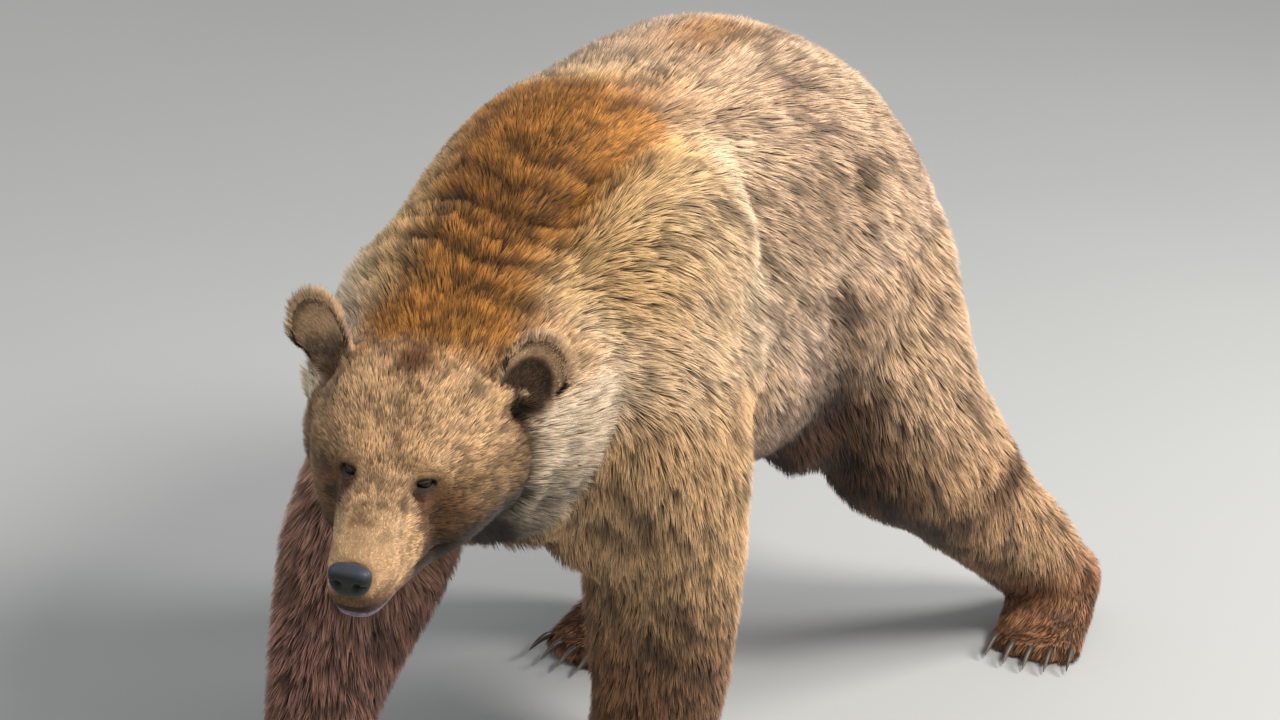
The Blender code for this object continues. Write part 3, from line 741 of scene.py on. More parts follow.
def limb_pelt(points, name):
    """The colours of a leg, from its height: darker on the fronts of the thighs as painted shade, and on the
    right foreleg, partly as painted shade.
    """
    height = points[:, 2] + drift(points, 0.08, 41)[:, 0] * 0.03
    if name.startswith(LEGS["foreleg"]):
        # the right foreleg keeps little of the pale upper colour: partly painted shade
        leg, share = (FORELEG, 0.95) if name.endswith("left") else (FAR_LEG, 0.1)
        return layered(leg, (UPPER_LEG, smooth(0.20, 0.46, height) * share),
                       (PAW, smooth(0.16, 0.05, height)))
    # painted shade along the lower front of each hind leg and round the knee
    shaded = 0.05 + 0.14 * smooth(0.22, 0.36, height) * smooth(0.64, 0.44, height)
    front = smooth(1.0, 0.45, behind_front(points) / shaded) * smooth(0.10, 0.25, height)
    knee = spot(points, (0.25, 0.26, 0.37), (0.10, 0.09, 0.07))
    return layered(SHANK, (THIGH, smooth(0.30, 0.55, height)),
                   (mix(SHADE, HOLLOW_SHADE, 0.55), 0.95 * np.maximum(front, 0.9 * knee)),
                   (HOLLOW_SHADE, 0.95 * thigh_hollow(points)), (HIND_FOOT, smooth(0.20, 0.08, height)))


def node_pelt(points, name):
    """The raw colours of one part of the body; they are evened out where the parts meet."""
    if name in HEAD_NODES:
        return head_pelt(points)
    if name in EAR_NODES:
        return ear_pelt(points, name[4:])
    if name in ("neck", "trunk", "tail"):
        return body_pelt(points)
    return limb_pelt(points, name)


# ---------------------------------------------------------------- how the coat grows

# what is kept of the coat at each point: inset of the skin, length and width of its tufts, and how many
# tufts stand on a square metre
INSET, LENGTH, WIDTH, DENSITY = range(4)
GROWTH = {part: np.array(row) for part, row in {
    "muzzle": (0.0018, 0.0048, 0.0008, 800000),
    "face": (0.0060, 0.0125, 0.0011, 640000),
    "eyelid": (0.0020, 0.0060, 0.0008, 760000),
    "crown": (0.0095, 0.0190, 0.0015, 390000),
    "ruff": (0.0130, 0.0340, 0.0018, 290000),
    "nape": (0.0110, 0.0190, 0.0015, 300000),
    "ear": (0.0035, 0.0180, 0.0012, 700000),
    "neck": (0.0170, 0.0330, 0.0020, 150000),
    "trunk": (0.0170, 0.0400, 0.0021, 125000),
    "tail": (0.0170, 0.0400, 0.0026, 110000),
    "upper_foreleg": (0.0150, 0.0310, 0.0020, 107000),
    "forearm": (0.0130, 0.0280, 0.0021, 95000),
    "forepaw": (0.0070, 0.0180, 0.0018, 140000),
    "thigh": (0.0150, 0.0350, 0.0020, 94000),
    "shank": (0.0130, 0.0280, 0.0021, 92000),
    "hindpaw": (0.0070, 0.0180, 0.0018, 130000),
}.items()}
# where the hair of the head seems to come from, and the way it lies on the parts with one lie all over
HAIR_SOURCE = np.array((0.0, -0.30, -0.01))
LIE = {"tail": (0.0, 0.5, -1.0), "forepaw": (0.0, -0.8, -0.6), "hindpaw": (0.0, -0.8, -0.6),
       "thigh": (0.0, 0.45, -1.0)}
LEG_LIE = (0.0, 0.18, -1.0)


def kind_of(name):
    """A part's name without its side."""
    return name.removesuffix("_left").removesuffix("_right")


def head_growth(points):
    """Short hair on the muzzle and round the eyes, longer back to the crown, long on the ruff."""
    head = seen_from(HEAD, points)
    from_nose = np.linalg.norm(head - NOSE_PLACE, axis=1)
    growth = layered(GROWTH["muzzle"], (GROWTH["face"], smooth(0.06, 0.17, from_nose)),
                     (GROWTH["crown"], smooth(0.20, 0.31, from_nose)))
    for matrix in EYES.values():
        aside, upward, _ = seen_from(matrix, points).T
        growth = mix(growth, GROWTH["eyelid"], smooth(0.034, 0.022, np.hypot(aside, upward)))
    ruff = smooth(0.000, 0.020, cheek_fold(head)[1]) * smooth(0.100, 0.125, abs(head[:, 0]))
    return mix(growth, GROWTH["ruff"], ruff * smooth(0.08, 0.03, head[:, 2]))


def node_growth(points, name):
    """The coat of one part of the body."""
    if name in HEAD_NODES:
        return head_growth(points)
    growth = np.tile(GROWTH[kind_of(name)], (len(points), 1))
    if name in EAR_NODES:
        growth[:, LENGTH] *= 1 - 0.55 * ear_hollow(points, name[4:])
    if name in ("neck", "trunk"):
        growth = mix(growth, GROWTH["nape"], nape_share(points))
    return growth


def node_lie(points, normals, name):
    """The way the hair lies on one part of the body."""
    if name in HEAD_NODES:
        away = seen_from(HEAD, points) - HAIR_SOURCE
        away[:, 0] *= 1.5
        return turned(HEAD, unit(away))
    if name in EAR_NODES:
        ear = EARS[name[4:]]
        return turned(ear, unit(seen_from(ear, points) + np.array((0, -0.004, 0.05))))
    if name in ("neck", "trunk"):
        across = points[:, 0] - BODY_MIDDLE
        ahead = smooth(-0.20, -0.65, normals[:, 1])
        steep = (0.10 + 1.00 * smooth(0.02, 0.20, abs(across))) * (1 - 0.9 * ahead)
        aside = 0.4 * np.clip(across / 0.08, -1, 1) * ahead
        return unit(np.stack((aside, np.ones(len(points)), -steep), 1))
    return np.tile(unit(np.array((LIE.get(kind_of(name), LEG_LIE),))), (len(points), 1))


# ---------------------------------------------------------------- the skin

def whole_flesh():
    """All the solids of flesh in one bmesh, and the solid that each face belongs to."""
    bm = bmesh.new()
    owners = []
    for index, name in enumerate(FLESH):
        bm.from_mesh(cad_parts[name].data)
        owners += [index] * (len(bm.faces) - len(owners))
    tree = BVHTree.FromBMesh(bm)
    bmesh.ops.remove_doubles(bm, verts=bm.verts, dist=1e-5)
    return bm, tree, np.array(owners)


def with_modifier(mesh, kind, groups=None, **settings):
    """The mesh as a modifier leaves it, with the given shares as its points' vertex group."""
    obj = shown("work", mesh)
    if groups is not None:
        group = obj.vertex_groups.new(name="share")
        for level in np.unique(groups):
            group.add(np.flatnonzero(groups == level).tolist(), float(level), "REPLACE")
    modifier = obj.modifiers.new("work", kind)
    for name, value in settings.items():
        setattr(modifier, name, value)
    made = bpy.data.meshes.new_from_object(obj.evaluated_get(bpy.context.evaluated_depsgraph_get()))
    bpy.data.objects.remove(obj)
    bpy.data.meshes.remove(mesh)
    return made


def largest_shell(bm):
    """Drops all but the largest connected shell."""
    left = set(bm.verts)
    shells = []
    while left:
        seed = left.pop()
        shell, edge = {seed}, [seed]
        while edge:
            vert = edge.pop()
            for near in (e.other_vert(vert) for e in vert.link_edges):
                if near in left:
                    left.discard(near)
                    shell.add(near)
                    edge.append(near)
        shells.append(shell)
    keep = max(shells, key=len)
    bmesh.ops.delete(bm, geom=[v for v in bm.verts if v not in keep], context="VERTS")


def owners_of(points, tree, owners):
    """The solid nearest to each point, by its place in the list of flesh."""
    return np.array([owners[tree.find_nearest(Vector(p))[2]] for p in points])


def on_nodes(home, *names):
    """Which points belong to one of the named solids."""
    return np.isin(home, [FLESH.index(name) for name in names])


def skin_mesh():
    """The body as one closed surface, fine on the head and coarse under the long coat."""
    bm, tree, owners = whole_flesh()
    mesh = bpy.data.meshes.new("flesh")
    bm.to_mesh(mesh)
    bm.free()
    mesh = with_modifier(mesh, "REMESH", mode="VOXEL", voxel_size=SKIN_VOXEL)
    points = places_of(mesh)
    home = owners_of(points, tree, owners)
    fine = on_nodes(home, *HEAD_NODES, *EAR_NODES)
    small = on_nodes(home, *(name for name in FLESH if "paw" in name or name == "tail"))
    evening = np.where(fine, 0.16, np.where(small, 0.2, 0.5))
    net = Net(mesh)
    points = net.relaxed(points, 24, net.relaxed(evening, 6))
    mesh.vertices.foreach_set("co", points.ravel())
    mesh = with_modifier(mesh, "DECIMATE", groups=np.where(fine, 0.0, 1.0), ratio=KEPT_SHARE,
                         vertex_group="share", vertex_group_factor=4.0)
    bm = bmesh.new()
    bm.from_mesh(mesh)
    largest_shell(bm)
    bmesh.ops.subdivide_edges(bm, edges=fine_edges(bm), cuts=1, use_grid_fill=True, smooth=0.0)
    bmesh.ops.triangulate(bm, faces=bm.faces)
    for face in bm.faces:
        face.smooth = True
    bm.to_mesh(mesh)
    bm.free()
    return mesh, tree, owners


def fine_edges(bm):
    """The long edges of the face and ears, which carry the small forms."""
    bm.verts.ensure_lookup_table()
    points = np.array([v.co for v in bm.verts])
    x, y, z = seen_from(HEAD, points).T
    near = (y < 0.0) & (y > -0.32) & (abs(x) < 0.12) & (abs(z) < 0.14)
    for matrix in EARS.values():
        near |= np.linalg.norm(seen_from(matrix, points) / EAR_SIZE, axis=1) < 1.5
    return [e for e in bm.edges if near[e.verts[0].index] and near[e.verts[1].index]
            and e.calc_length() > FINE_EDGE]


def sculpt_head(points):
    """How far each point of the skin is pushed out along its normal for the small forms of the head."""
    head = seen_from(HEAD, points)
    x, y, z = head.T
    wide = abs(x)
    push = 0.0085 * twin_spots(head, (0.046, -0.128, 0.064), (0.028, 0.015, 0.011))
    edge = smooth(-0.150, -0.175, y) * smooth(-0.262, -0.240, y) * smooth(-0.03, 0.0, z)
    push += 0.0030 * np.exp(-((wide - 0.034) / 0.008) ** 2) * edge
    push -= 0.0040 * np.exp(-((wide - 0.048) / 0.008) ** 2) * edge
    push -= 0.0050 * twin_spots(head, (0.031, -0.152, 0.034), (0.010, 0.014, 0.014))
    push -= 0.0100 * twin_spots(head, (0.065, -0.150, -0.012), (0.013, 0.018, 0.040))
    push += 0.0050 * twin_spots(head, (0.100, -0.070, 0.000), (0.030, 0.030, 0.040))
    furrow = np.exp(-((x + 0.004) / 0.008) ** 2) * smooth(-0.13, -0.09, y) * smooth(0.05, 0.01, y)
    push -= 0.0035 * furrow * smooth(0.04, 0.06, z)
    push -= 0.0085 * cheek_fold(head)[0] * smooth(-0.10, -0.05, y)
    push -= 0.0100 * twin_spots(head, (0.134, -0.006, 0.076), (0.020, 0.016, 0.022))
    push += 0.0020 * twin_spots(head, (0.026, -0.240, -0.034), (0.012, 0.026, 0.014))
    mouth = np.exp(-((z - MOUTH_UP - 0.004) / 0.0035) ** 2) * smooth(-0.125, -0.150, y)
    return push - 0.0045 * mouth


def sculpt_body(points):
    """The rear edge of the shoulders stands proud of a hollow; another hollow lies before the thighs."""
    edge, behind = behind_shoulder(points)
    return 0.008 * edge - 0.013 * behind - 0.016 * thigh_hollow(points)


def nape_folds(points):
    """The folds across the nape: 1 on their crests and -1 in the grooves, and how strong they are."""
    x, y, z = points.T
    aside = abs(x - BODY_MIDDLE)
    bow = y - 0.25 * aside + 0.014 * (mottle(points, 0.07, 17) - 0.5) * 2
    strength = smooth(-0.585, -0.54, y) * smooth(-0.33, -0.40, y) * smooth(0.150, 0.085, aside)
    strength = strength * smooth(0.76, 0.80, z)
    return np.cos(bow * 2 * math.pi / FOLD_STEP), strength * (0.45 + 0.55 * mottle(points, 0.05, 19))


def dished(points):
    """The skin sinks away in front of the eyeballs, where the lids lie over them."""
    for side, matrix in EYES.items():
        x, y, z = seen_from(matrix, points).T
        away = np.hypot(x, y)
        ball = np.sqrt(np.maximum((eye_radius(side) - SOCKET_GAP) ** 2 - away ** 2, 0)) - SOCKET_GAP
        near = smooth(0.0170, 0.0105, away) * (z > -0.02) * (abs(z) < 0.04)
        sunk = np.minimum(z, ball)
        points = points + np.array(matrix.to_3x3())[:, 2] * ((sunk - z) * near)[:, None]
    return points


def slimmed(points, home):
    """The ears drawn in from their rims by the length of the hair that stands out there."""
    for side, matrix in EARS.items():
        local = seen_from(matrix, points)
        x, _, z = (local / EAR_SIZE).T
        mine = on_nodes(home, f"ear_{side}") * smooth(-0.5, 0.3, z)
        local[:, (0, 2)] *= (1 - EAR_RIM_DEPTH * mine * np.minimum(1.0, np.hypot(x, z)))[:, None]
        inside = turned(matrix, local) + np.array(matrix.translation)
        points = np.where((mine > 0)[:, None], inside, points)
    return points


def flesh_fields(points, normals, home):
    """The coat, the lie of its hair and its raw colour at each point."""
    growth, lie, pelt = (np.zeros((len(points), width)) for width in (4, 3, 3))
    for index, name in enumerate(FLESH):
        mine = home == index
        growth[mine] = node_growth(points[mine], name)
        lie[mine] = node_lie(points[mine], normals[mine], name)
        pelt[mine] = node_pelt(points[mine], name)
    return growth, lie, pelt


def build_skin():
    """The skin, and what the coat takes from it at each of its points."""
    mesh, tree, owners = skin_mesh()
    points = places_of(mesh)
    net = Net(mesh)
    home = owners_of(points, tree, owners)
    normals = unit(net.relaxed(normals_of(mesh), 4))
    growth, lie, pelt = flesh_fields(points, normals, home)
    on_ear = on_nodes(home, *EAR_NODES)
    head = on_ear | on_nodes(home, *HEAD_NODES)
    growth = net.relaxed(growth, 12)
    lie = net.relaxed(lie, 8)
    pelt = net.relaxed(pelt, 6, np.where(head, 0.15, 0.5))
    sole = smooth(0.030, 0.004, points[:, 2]) * smooth(-0.55, -0.9, normals[:, 2])
    # painted shade: the coat darker where it faces down, most on the head
    under = smooth(-0.05, -0.75, normals[:, 2])
    pelt = pelt * (1 - np.where(on_ear, 0.1, np.where(head, 0.72, 0.55)) * under)[:, None]
    crest, strength = nape_folds(points)
    # painted shade in the grooves between the nape folds
    pelt = pelt * (1 - 0.85 * strength * smooth(0.4, -0.6, crest))[:, None]
    push = -growth[:, INSET] * (1 - sole) + sculpt_head(points) + FOLD_HEIGHT * strength * crest
    push = push + sculpt_body(points)
    points = slimmed(dished(points + normals * push[:, None]), home)
    points[:, 2] = np.maximum(points[:, 2], 0.0)
    mesh.vertices.foreach_set("co", points.ravel())
    mesh.update()
    normals = unit(net.relaxed(normals_of(mesh), 2))
    flattening = np.where(on_ear, 0.25, 1.0)
    lie = unit(lie - normals * ((lie * normals).sum(1) * flattening)[:, None])
    faces = triangles_of(mesh)
    tree = BVHTree.FromPolygons(points.tolist(), faces.tolist())
    return {"mesh": mesh, "points": points, "normals": normals, "home": home, "growth": growth, "lie": lie,
            "pelt": pelt, "bare": sole, "triangles": faces, "tree": tree}


def face_grain(points):
    """A place for each point in strands that run back from the nose: across them fine, along them coarse."""
    head = seen_from(HEAD, points) - HAIR_SOURCE
    around = np.arctan2(head[:, 0], head[:, 2])
    out = np.linalg.norm(head, axis=1)
    return np.stack((np.cos(around) * GRAIN_ROUND, np.sin(around) * GRAIN_ROUND, out * GRAIN_ALONG), 1)


def keep_hair(mesh, points, pelt, growth):
    """What the hide shows of the hair: its colour, how long it is, and how its strands run."""
    keep_colour(mesh, pelt)
    keep_attribute(mesh, "cover", "FLOAT", growth[:, LENGTH])
    keep_attribute(mesh, "grain", "FLOAT_VECTOR", face_grain(points))


def finish_skin(skin, material):
    """The skin as a piece of its own, which stands for every solid of flesh."""
    mesh = skin["mesh"]
    keep_hair(mesh, skin["points"], skin["pelt"], skin["growth"])
    keep_attribute(mesh, "bare", "FLOAT", skin["bare"])
    obj = piece("skin", mesh, material)
    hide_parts(*FLESH)


# ---------------------------------------------------------------- the coat

# the parts of the head and trunk that are pieces of their own: where the face ends, and the trunk's belts
FACE_REAR = -0.055
TRUNK_BELTS = (("shoulders", -1.0, 0.30), ("flanks", 0.30, 0.64), ("rump", 0.64, 2.0))
PATCH = 0.003
MAP_RINGS = 12


def coat_regions(skin):
    """Which coat piece each point of the skin belongs to, by name."""
    points, home = skin["points"], skin["home"]
    head = seen_from(HEAD, points)
    along = trunk_share(points)[0]
    in_head = on_nodes(home, *HEAD_NODES)
    face = in_head & (head[:, 1] < FACE_REAR)
    trunk = on_nodes(home, "trunk", "tail")
    region = np.full(len(points), "coat_neck", dtype=object)
    region[on_nodes(home, *EAR_NODES)] = "coat_ears"
    for side in SIDES:
        half = (head[:, 0] >= 0) == (side == "left")
        region[face & half] = f"coat_face_{side}"
        region[in_head & ~face & half] = f"coat_cheek_{side}"
        half = (points[:, 0] > (TRUNK_LOW[0] + TRUNK_HIGH[0]) / 2) == (side == "left")
        for name, low, high in TRUNK_BELTS:
            region[trunk & half & (along >= low) & (along < high)] = f"coat_{name}_{side}"
        for leg, parts in LEGS.items():
            region[on_nodes(home, *(f"{part}_{side}" for part in parts))] = f"coat_{leg}_{side}"
    return region


def sown(skin, inside, random, thinning):
    """Roots of tufts spread over the skin: the triangle that each stands on and its place in it."""
    corners = skin["triangles"]
    corners = corners[inside[corners[:, 0]]]
    a, b, c = (skin["points"][corners[:, k]] for k in range(3))
    area = np.linalg.norm(np.cross(b - a, c - a), axis=1) / 2
    wanted = area * skin["density"][corners].mean(1) * thinning
    total = int(wanted.sum())
    reach = np.cumsum(wanted)
    chosen = np.minimum(np.searchsorted(reach, random.random(total) * reach[-1]), len(corners) - 1)
    u, v = random.random((2, total))
    fold = u + v > 1
    u, v = np.where(fold, 1 - u, u), np.where(fold, 1 - v, v)
    return corners[chosen], np.stack((1 - u - v, u, v), 1)


def carried(values, corners, weights):
    """A field of the skin at the roots."""
    return (values[corners] * weights[:, :, None]).sum(1)


def ranked(values):
    """The rank of each value among all of them, from 0 to 1."""
    rank = np.empty(len(values))
    rank[np.argsort(values, kind="stable")] = (np.arange(len(values)) + 0.5) / len(values)
    return rank


def unwrap(points, name):
    """The roots on a map of their part: the angle round its long axis, and the rank along it."""
    if name.startswith(("coat_face", "coat_cheek")):
        local = seen_from(HEAD, points)[:, (0, 2, 1)]
    elif name == "coat_ears":
        local = seen_from(HEAD, points)[:, (1, 2, 0)]
    else:
        local = points if "leg" in name else points[:, (0, 2, 1)]
    rank = ranked(local[:, 2])
    bins = np.minimum((rank * MAP_RINGS).astype(int), MAP_RINGS - 1)
    steps = (np.arange(MAP_RINGS) + 0.5) / MAP_RINGS
    centre = []
    for axis in (0, 1):
        middles = [local[bins == k, axis].mean() for k in range(MAP_RINGS)]
        centre.append(np.interp(rank, steps, middles))
    turn = ranked(np.arctan2(local[:, 0] - centre[0], local[:, 1] - centre[1]))
    return np.stack((turn, rank), 1) * (1 - 2 * PATCH) + PATCH


# how tufts hold together: one in so many leads a clump or a lock, the lengths between which they start
# to gather, how much the tone changes from clump to clump, and the share of single dark tufts
HEAD_LOCKS = {"clump": 60, "lock": 6, "gather": (0.003, 0.026), "tone": 0.26, "dark": 0.23}
BODY_LOCKS = {"clump": 30, "lock": 4, "gather": (0.008, 0.030), "tone": 0.18, "dark": 0.17}
# places on the body in streaks that run back and down it: fine across them, coarse along them
STREAKS = np.array(((45, 0, 0), (0, 15, 58), (0, -15, 58)))
# the most that a tuft reflects of any colour
PALEST = 0.85
# a tuft's own map, across and along it, for the three points of its base and its tip; and its faces
TUFT_MAP = np.array(((0.0, 0.0), (0.5, 0.0), (1.0, 0.0), (0.5, 1.0)))
TUFT_FACES = np.array(((1, 0, 3), (2, 1, 3), (0, 2, 3)))
# how deep a tuft's base is sunk, and how low above the ground fur may reach
ROOT_DEPTH = 0.0015
FUR_LOWEST = 0.0008
# how far up their shading the tufts of the ears start, so that their roots stay light
EAR_ROOT = 0.40


def nearest_of(points, some):
    """For each point, which of some picked points lies nearest."""
    tree = KDTree(len(some))
    for index, chosen in enumerate(some):
        tree.insert(points[chosen], index)
    tree.balance()
    return np.array([some[tree.find(point)[1]] for point in points])


def tuft_tips(name, root, normal, lie, growth, waves, locks, random):
    """Where the tufts end, which way they lie, and the tuft that each follows in its lock and its clump."""
    count = len(root)
    number = np.arange(count)
    length = growth[:, LENGTH] * random.uniform(0.75, 1.15, count) * (0.80 + 0.4 * mottle(root, 0.045, 23))
    rise = growth[:, INSET] * random.uniform(0.60, 1.08, count) * (0.78 + 0.36 * waves)
    rise = np.minimum(rise, 0.8 * length)
    run = np.sqrt(length ** 2 - rise ** 2)
    lie = unit(lie + drift(root, 0.030, 31) * 0.22 + random.normal(0, 0.12, (count, 3)))
    if name != "coat_ears":
        lie = unit(lie - normal * (lie * normal).sum(1)[:, None])
    tip = root + lie * run[:, None] + normal * rise[:, None]
    clump = nearest_of(root, number[::locks["clump"]])
    gather = smooth(*locks["gather"], length)
    tip = mix(tip, tip[clump], random.uniform(0.05, 0.45, count) * gather)
    lead = nearest_of(root, number[::locks["lock"]])
    lean = random.uniform(0.15, 0.75, count) * (0.4 + 0.6 * gather) * (lead != number)
    return mix(tip, tip[lead], lean), lie, lead, clump


def tuft_blades(root, tip, normal, lie, width, random):
    """The points of the tufts, three round each sunken base and one at its tip, and the way they face."""
    count = len(root)
    across = unit(np.cross(lie, normal))
    roll = random.normal(0, 0.35, count)[:, None]
    side = across * np.cos(roll) + normal * np.sin(roll)
    top = normal * np.cos(roll) - across * np.sin(roll)
    half = (width * random.uniform(0.7, 1.3, count) / 2)[:, None]
    offsets = (side * half, top * half * 0.6, -side * half)
    base = root - normal * ROOT_DEPTH
    points = np.stack([base + offset for offset in offsets] + [tip], 1).reshape(-1, 3)
    points[:, 2] = np.maximum(points[:, 2], FUR_LOWEST)
    aims = [unit(normal + unit(offset) * 0.55 - lie * 0.1) for offset in offsets]
    aims.append(unit(normal + lie * 0.25))
    return points, np.stack(aims, 1).reshape(-1, 3)


def tuft_colours(name, root, pelt, waves, locks, lead, clump, random):
    """The colour of each tuft: lighter or darker by its lock, its clump and its place, and by chance."""
    count = len(root)
    tone = random.normal(1.0, 0.24, count)[lead] * random.normal(1.0, locks["tone"], count)[clump]
    tone *= random.normal(1.0, 0.10, count) * (0.70 + 0.60 * waves) * (0.85 + 0.30 * mottle(root, 0.09, 71))
    tone *= np.where(random.random(count) < locks["dark"], 0.52, 1.06)
    if locks is BODY_LOCKS and name != "coat_ears":
        tone *= 1.05 - 0.60 * smooth(0.54, 0.80, mottle(root @ STREAKS, 1.0, 83))
    warm = random.normal(0, 0.03, count)
    warmth = np.stack((1 + warm, np.ones(count), 1 - 1.5 * warm), 1)
    tone = np.minimum(np.clip(tone, 0.35, 1.6), PALEST / pelt.max(1))
    return np.clip(pelt * tone[:, None] * warmth, 0, 1)


def grow_tufts(name, skin, inside, random, thinning):
    """The tufts of one part as arrays: points, normals, colours, the two maps and the faces."""
    corners, weights = sown(skin, inside, random, thinning)
    count = len(corners)
    root, normal, lie, growth, pelt = (carried(skin[field], corners, weights)
                                       for field in ("points", "normals", "lie", "growth", "pelt"))
    normal, lie = unit(normal), unit(lie)
    waves = mottle(root, 0.030, 11)
    locks = HEAD_LOCKS if name.startswith(("coat_face", "coat_cheek", "coat_neck")) else BODY_LOCKS
    tip, lie, lead, clump = tuft_tips(name, root, normal, lie, growth, waves, locks, random)
    points, normals = tuft_blades(root, tip, normal, lie, growth[:, WIDTH], random)
    colours = tuft_colours(name, root, pelt, waves, locks, lead, clump, random)
    faces = (np.arange(count)[:, None, None] * len(TUFT_MAP) + TUFT_FACES).reshape(-1, 3)
    flat = TUFT_MAP.copy()
    flat[:3, 1] = EAR_ROOT if name == "coat_ears" else 0.0
    shift = np.stack((random.integers(0, 400, count) * 1.37, np.zeros(count)), 1)
    strand = (flat + shift[:, None]).reshape(-1, 2)
    bake = (unwrap(root, name)[:, None] + (flat - 0.5) * PATCH).reshape(-1, 2)
    return points, normals, np.repeat(colours, len(TUFT_MAP), axis=0), strand, bake, faces


def mesh_of_arrays(name, points, normals, colours, strand, bake, faces):
    """One mesh of many tufts, with their own normals, their colours and the two maps."""
    mesh = bpy.data.meshes.new(name)
    mesh.vertices.add(len(points))
    mesh.vertices.foreach_set("co", points.astype(np.float32).ravel())
    mesh.loops.add(faces.size)
    corners = faces.ravel()
    mesh.loops.foreach_set("vertex_index", corners.astype(np.int32))
    mesh.polygons.add(len(faces))
    mesh.polygons.foreach_set("loop_start", np.arange(0, faces.size, 3, dtype=np.int32))
    mesh.polygons.foreach_set("use_smooth", np.ones(len(faces), bool))
    mesh.update(calc_edges=True)
    for layer, values in (("OFBake", bake), ("strand", strand)):
        uv = mesh.uv_layers.new(name=layer)
        uv.data.foreach_set("uv", values[corners].astype(np.float32).ravel())
    keep_colour(mesh, colours)
    mesh.normals_split_custom_set_from_vertices(normals.tolist())
    return mesh


def fur_density(skin):
    """How densely fur grows: not underfoot, on the nose, under the lids or on the lip."""
    head = seen_from(HEAD, skin["points"])
    density = skin["growth"][:, DENSITY] * (1 - skin["bare"])
    for matrix in EYES.values():
        x, y, z = seen_from(matrix, skin["points"]).T
        under_lid = smooth(0.0172, 0.0158, np.hypot(x / LID_STRETCH, y)) * (abs(z) < EYE_NEAR)
        density = density * (1 - under_lid)
    nose = np.linalg.norm((head - NOSE_PLACE) / NOSE_BARE, axis=1)
    lip = from_line(head, [tuple(lip_line(k / 16)) for k in range(17)])
    return density * smooth(0.95, 1.05, nose) * smooth(0.0050, 0.0065, lip)


def with_lids(skin, lids):
    """The skin's fields with those of the lids joined on, so that fur is sown on both alike."""
    joined = dict(skin)
    for part in lids:
        start = len(joined["points"])
        for field in ("points", "normals", "growth", "lie", "pelt", "density", "home"):
            joined[field] = np.concatenate((joined[field], part[field]))
        joined["triangles"] = np.concatenate((joined["triangles"], part["triangles"] + start))
    return joined


def build_coat(skin, lids, material):
    """The fur, in one piece for each part of the body."""
    skin["density"] = fur_density(skin)
    skin = with_lids(skin, lids)
    region = coat_regions(skin)
    thinning = 1.0
    for number, name in enumerate(sorted(set(region))):
        random = np.random.default_rng(100 + number)
        arrays = grow_tufts(name, skin, region == name, random, thinning)
        piece(name, mesh_of_arrays(name, *arrays), material)


# ---------------------------------------------------------------- eyes, nose, lips, claws

def almond(angle):
    """A point of the slit between the lids, pointed at both corners."""
    across = math.cos(angle)
    height = SLIT_TOP if math.sin(angle) > 0 else SLIT_LOW
    return across * SLIT_WIDTH, math.sin(angle) * height * (1 - 0.40 * across * across)


def build_eye(side, material):
    bm = bmesh.new()
    bmesh.ops.create_uvsphere(bm, u_segments=2 * EYE_ROWS, v_segments=EYE_ROWS,
                              radius=eye_radius(side) * EYEBALL_FIT)
    ring = [v.co.angle(Vector((0, 0, 1))) for v in bm.verts]
    bm.transform(EYES[side])
    mesh = mesh_from(bm, f"eyeball_{side}")
    keep_attribute(mesh, "from_pupil", "FLOAT", np.array(ring))
    eye = piece(f"eyeball_{side}", mesh, material)
    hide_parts(f"eye_{side}")


def ground_at(side, skin, x, y):
    """How far the skin stands out along the gaze over a place in an eye's frame."""
    matrix = EYES[side]
    look = matrix.to_3x3() @ Vector((0, 0, 1))
    hit = skin["tree"].ray_cast(matrix @ Vector((x, y, 0.05)), -look, 0.09)[0]
    return (matrix.inverted() @ hit).z if hit else 0.0


def lid_point(side, skin, angle, out):
    """A place on the lids, from the rim of the slit at 0 out to the skin of the face at 1."""
    edge_x = math.cos(angle) * LID_REACH * LID_STRETCH
    edge_y = math.sin(angle) * LID_REACH
    slit_x, slit_y = almond(angle)
    share = out ** 1.25
    x = slit_x * (1 - share) + edge_x * share
    y = slit_y * (1 - share) + edge_y * share
    thick = LID_RIM + (LID_THICK - LID_RIM) * min(1.0, out / 0.07)
    ball = math.sqrt(max((eye_radius(side) + thick) ** 2 - x * x - y * y, 0.0))
    rise = float(smooth(0.05, 0.45, out))
    cover = max(ground_at(side, skin, edge_x, edge_y), ground_at(side, skin, x, y) + LID_LIFT)
    depth = ball * (1 - rise) + (cover - LID_SINK * (out > 0.93)) * rise
    crease = math.exp(-((out - 0.26) / 0.05) ** 2) * max(0.0, math.sin(angle))
    return Vector((x, y, depth - CREASE_DEPTH * crease))


